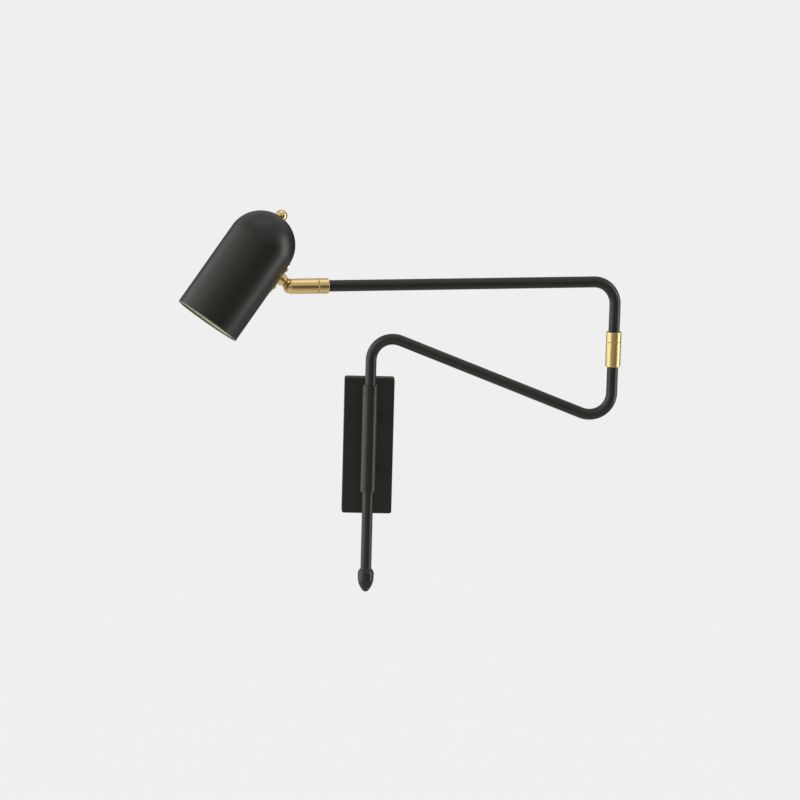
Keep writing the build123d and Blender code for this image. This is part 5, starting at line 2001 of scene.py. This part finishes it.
@dataclass
class Studio:
    """Camera, lamps, pale floor and pale surroundings."""

    background: float = 0.863
    floor_depth: float = 1.55
    floor_reach: float = 60.0
    floor_share: float = 0.94
    floor_pale: float = 0.905
    floor_glow: float = 0.64
    floor_dim: float = 0.32
    floor_matt: Colour = (0.5, 0.5, 0.5)
    floor_dim_span: Span = (0.5, 1.6)
    floor_fade_span: Span = (3.6, 6.8)
    fill: float = 0.42
    left_glow: float = 0.26
    dim_glow: float = 0.06
    dim_span: Span = (0.12, 0.62)
    back_glow: float = 0.03
    back_span: Span = (0.65, 0.95)
    upper_glow: float = 0.60
    upper_span: Span = (0.16, 0.50)
    target: Vector = field(default_factory=lambda: Vector((32.9 * MM, -45.0 * MM, 58.1 * MM)))
    camera_distance: float = 3.3
    camera_pitch: float = 9.95
    camera_yaw: float = -2.24
    camera_roll: float = 1.54
    focal_pixels: float = 3000.0
    image_pixels: float = 800.0
    sensor: float = 36.0
    softboxes: tuple[Softbox, ...] = (
        Softbox("softbox_left", azimuth=-84, elevation=4, distance=1.7, width=2.9, height=2.15,
                radiance=1.65),
        Softbox("softbox_right", azimuth=83, elevation=0, distance=1.8, width=0.8, height=1.9,
                radiance=3.9),
        Softbox("softbox_top", azimuth=0, elevation=86, distance=1.9, width=1.4, height=0.8,
                radiance=0.8),
    )

    def build(self) -> None:
        """Set up the whole studio."""
        self.camera()
        for softbox in self.softboxes:
            softbox.hang(self.target)
        self.surroundings()
        self.floor()
        bpy.context.scene.view_settings.view_transform = "Standard"

    def camera(self) -> None:
        """Stand the camera where the photograph was taken from."""
        yaw, pitch, roll = (math.radians(value) for value in
                            (self.camera_yaw, self.camera_pitch, self.camera_roll))
        forward = Vector((-math.sin(yaw) * math.cos(pitch), math.cos(yaw) * math.cos(pitch),
                          -math.sin(pitch)))
        right = Vector((math.cos(yaw), math.sin(yaw), 0.0))
        top = right.cross(forward)
        rolled_right = right * math.cos(roll) + top * math.sin(roll)
        rolled_top = top * math.cos(roll) - right * math.sin(roll)
        data = bpy.data.cameras.new("camera")
        data.sensor_width = self.sensor
        data.lens = self.focal_pixels / self.image_pixels * self.sensor
        camera = bpy.data.objects.new("camera", data)
        place = Axes(self.target - forward * self.camera_distance, rolled_right, rolled_top, -forward)
        camera.matrix_world = place.matrix
        bpy.context.scene.collection.objects.link(camera)
        bpy.context.scene.camera = camera

    @staticmethod
    def rays(bench: Bench) -> tuple[Signal, Signal]:
        """Sort the rays that meet the studio.

        Args:
            bench: The tree that asks.

        Returns:
            Whether a ray comes straight or through glass to the camera, and whether it is glossy.
        """
        first = bench.node("ShaderNodeLightPath", output="Is Camera Ray")
        sockets = first.socket.node.outputs
        through = Signal(bench, sockets["Is Transmission Ray"])
        return (first + through).clamped(), Signal(bench, sockets["Is Glossy Ray"])

    def surroundings(self) -> None:
        """Pale to the camera; to glossy rays a room with a dim side and a pale upper half."""
        world = bpy.data.worlds.new("studio")
        world.use_nodes = True
        bpy.context.scene.world = world
        bench = Bench(world.node_tree)
        world.node_tree.nodes.clear()
        clear, glossy = self.rays(bench)
        x, y, z = bench.split(bench.node("ShaderNodeTexCoord", output="Generated"))
        turn = bench.node(bench.MATH, {"operation": "ARCTAN2"}, {0: x, 1: y * -1.0})
        side = bench.ease(turn, self.dim_span, self.left_glow, self.dim_glow)
        level = side + (self.back_glow - side) * bench.ease(y, self.back_span)
        shone = level + (self.upper_glow - level) * bench.ease(z, self.upper_span)
        strength = (clear * self.background
                    + (1.0 - clear) * (glossy * shone + (1.0 - glossy) * self.fill))
        shine = bench.node("ShaderNodeBackground", None, {"Color": WHITE, "Strength": strength})
        bench.end("ShaderNodeOutputWorld", "Surface", shine)

    def floor(self) -> None:
        """A wide pale floor that keeps the lamp's soft shadow."""
        reach, depth = self.floor_reach, -self.floor_depth
        mesh = bpy.data.meshes.new("floor")
        mesh.from_pydata([(-reach, -reach, depth), (reach, -reach, depth), (reach, reach, depth),
                          (-reach, reach, depth)], [], [(0, 1, 2, 3)])
        floor = bpy.data.objects.new("floor", mesh)
        bpy.context.scene.collection.objects.link(floor)
        paint = Paint("floor_paper")
        clear, glossy = self.rays(paint)
        matt = paint.node("ShaderNodeBsdfDiffuse", None, {"Color": rgba(self.floor_matt)})
        seen = paint.mix(clear * self.floor_share, matt, paint.glow(self.floor_pale))
        rightward = paint.ease(paint.split(paint.place)[0], self.floor_dim_span)
        near = paint.mix(rightward, paint.glow(self.floor_glow), paint.glow(self.floor_dim))
        lit = paint.mix(glossy, seen, near)
        far = paint.node("ShaderNodeVectorMath", {"operation": "LENGTH"}, {0: paint.place}, "Value")
        beyond = paint.ease(far, self.floor_fade_span) * glossy
        below = paint.node("ShaderNodeNewGeometry", output="Backfacing")
        gone = paint.node("ShaderNodeBsdfTransparent")
        whole = paint.mix((below + beyond).clamped(), lit, gone)
        paint.tree.links.new(whole.socket, paint.tree.nodes["Material Output"].inputs["Surface"])
        paint.tree.nodes.remove(paint.surface)
        mesh.materials.append(paint.material)


def main() -> None:
    """Build the lamp's pieces in order, then the studio."""
    logging.basicConfig(level=logging.INFO, format="%(name)s %(message)s")
    linkage = Linkage(frame["joints"])
    finishes = Finishes(linkage)
    shop = Workshop()
    common = (shop, finishes, linkage)
    tube, screws = BentTube(), PanScrews()
    for assembly in (WallMount(*common, screws), LowerArm(*common, tube), UpperArm(*common, tube),
                     Swivel(*common), Head(*common, screws), Knob(*common)):
        assembly.build()
    Studio().build()
    log.info("%d pieces made, %d nodes kept", shop.made, shop.kept)


if __name__ == "__main__":
    main()
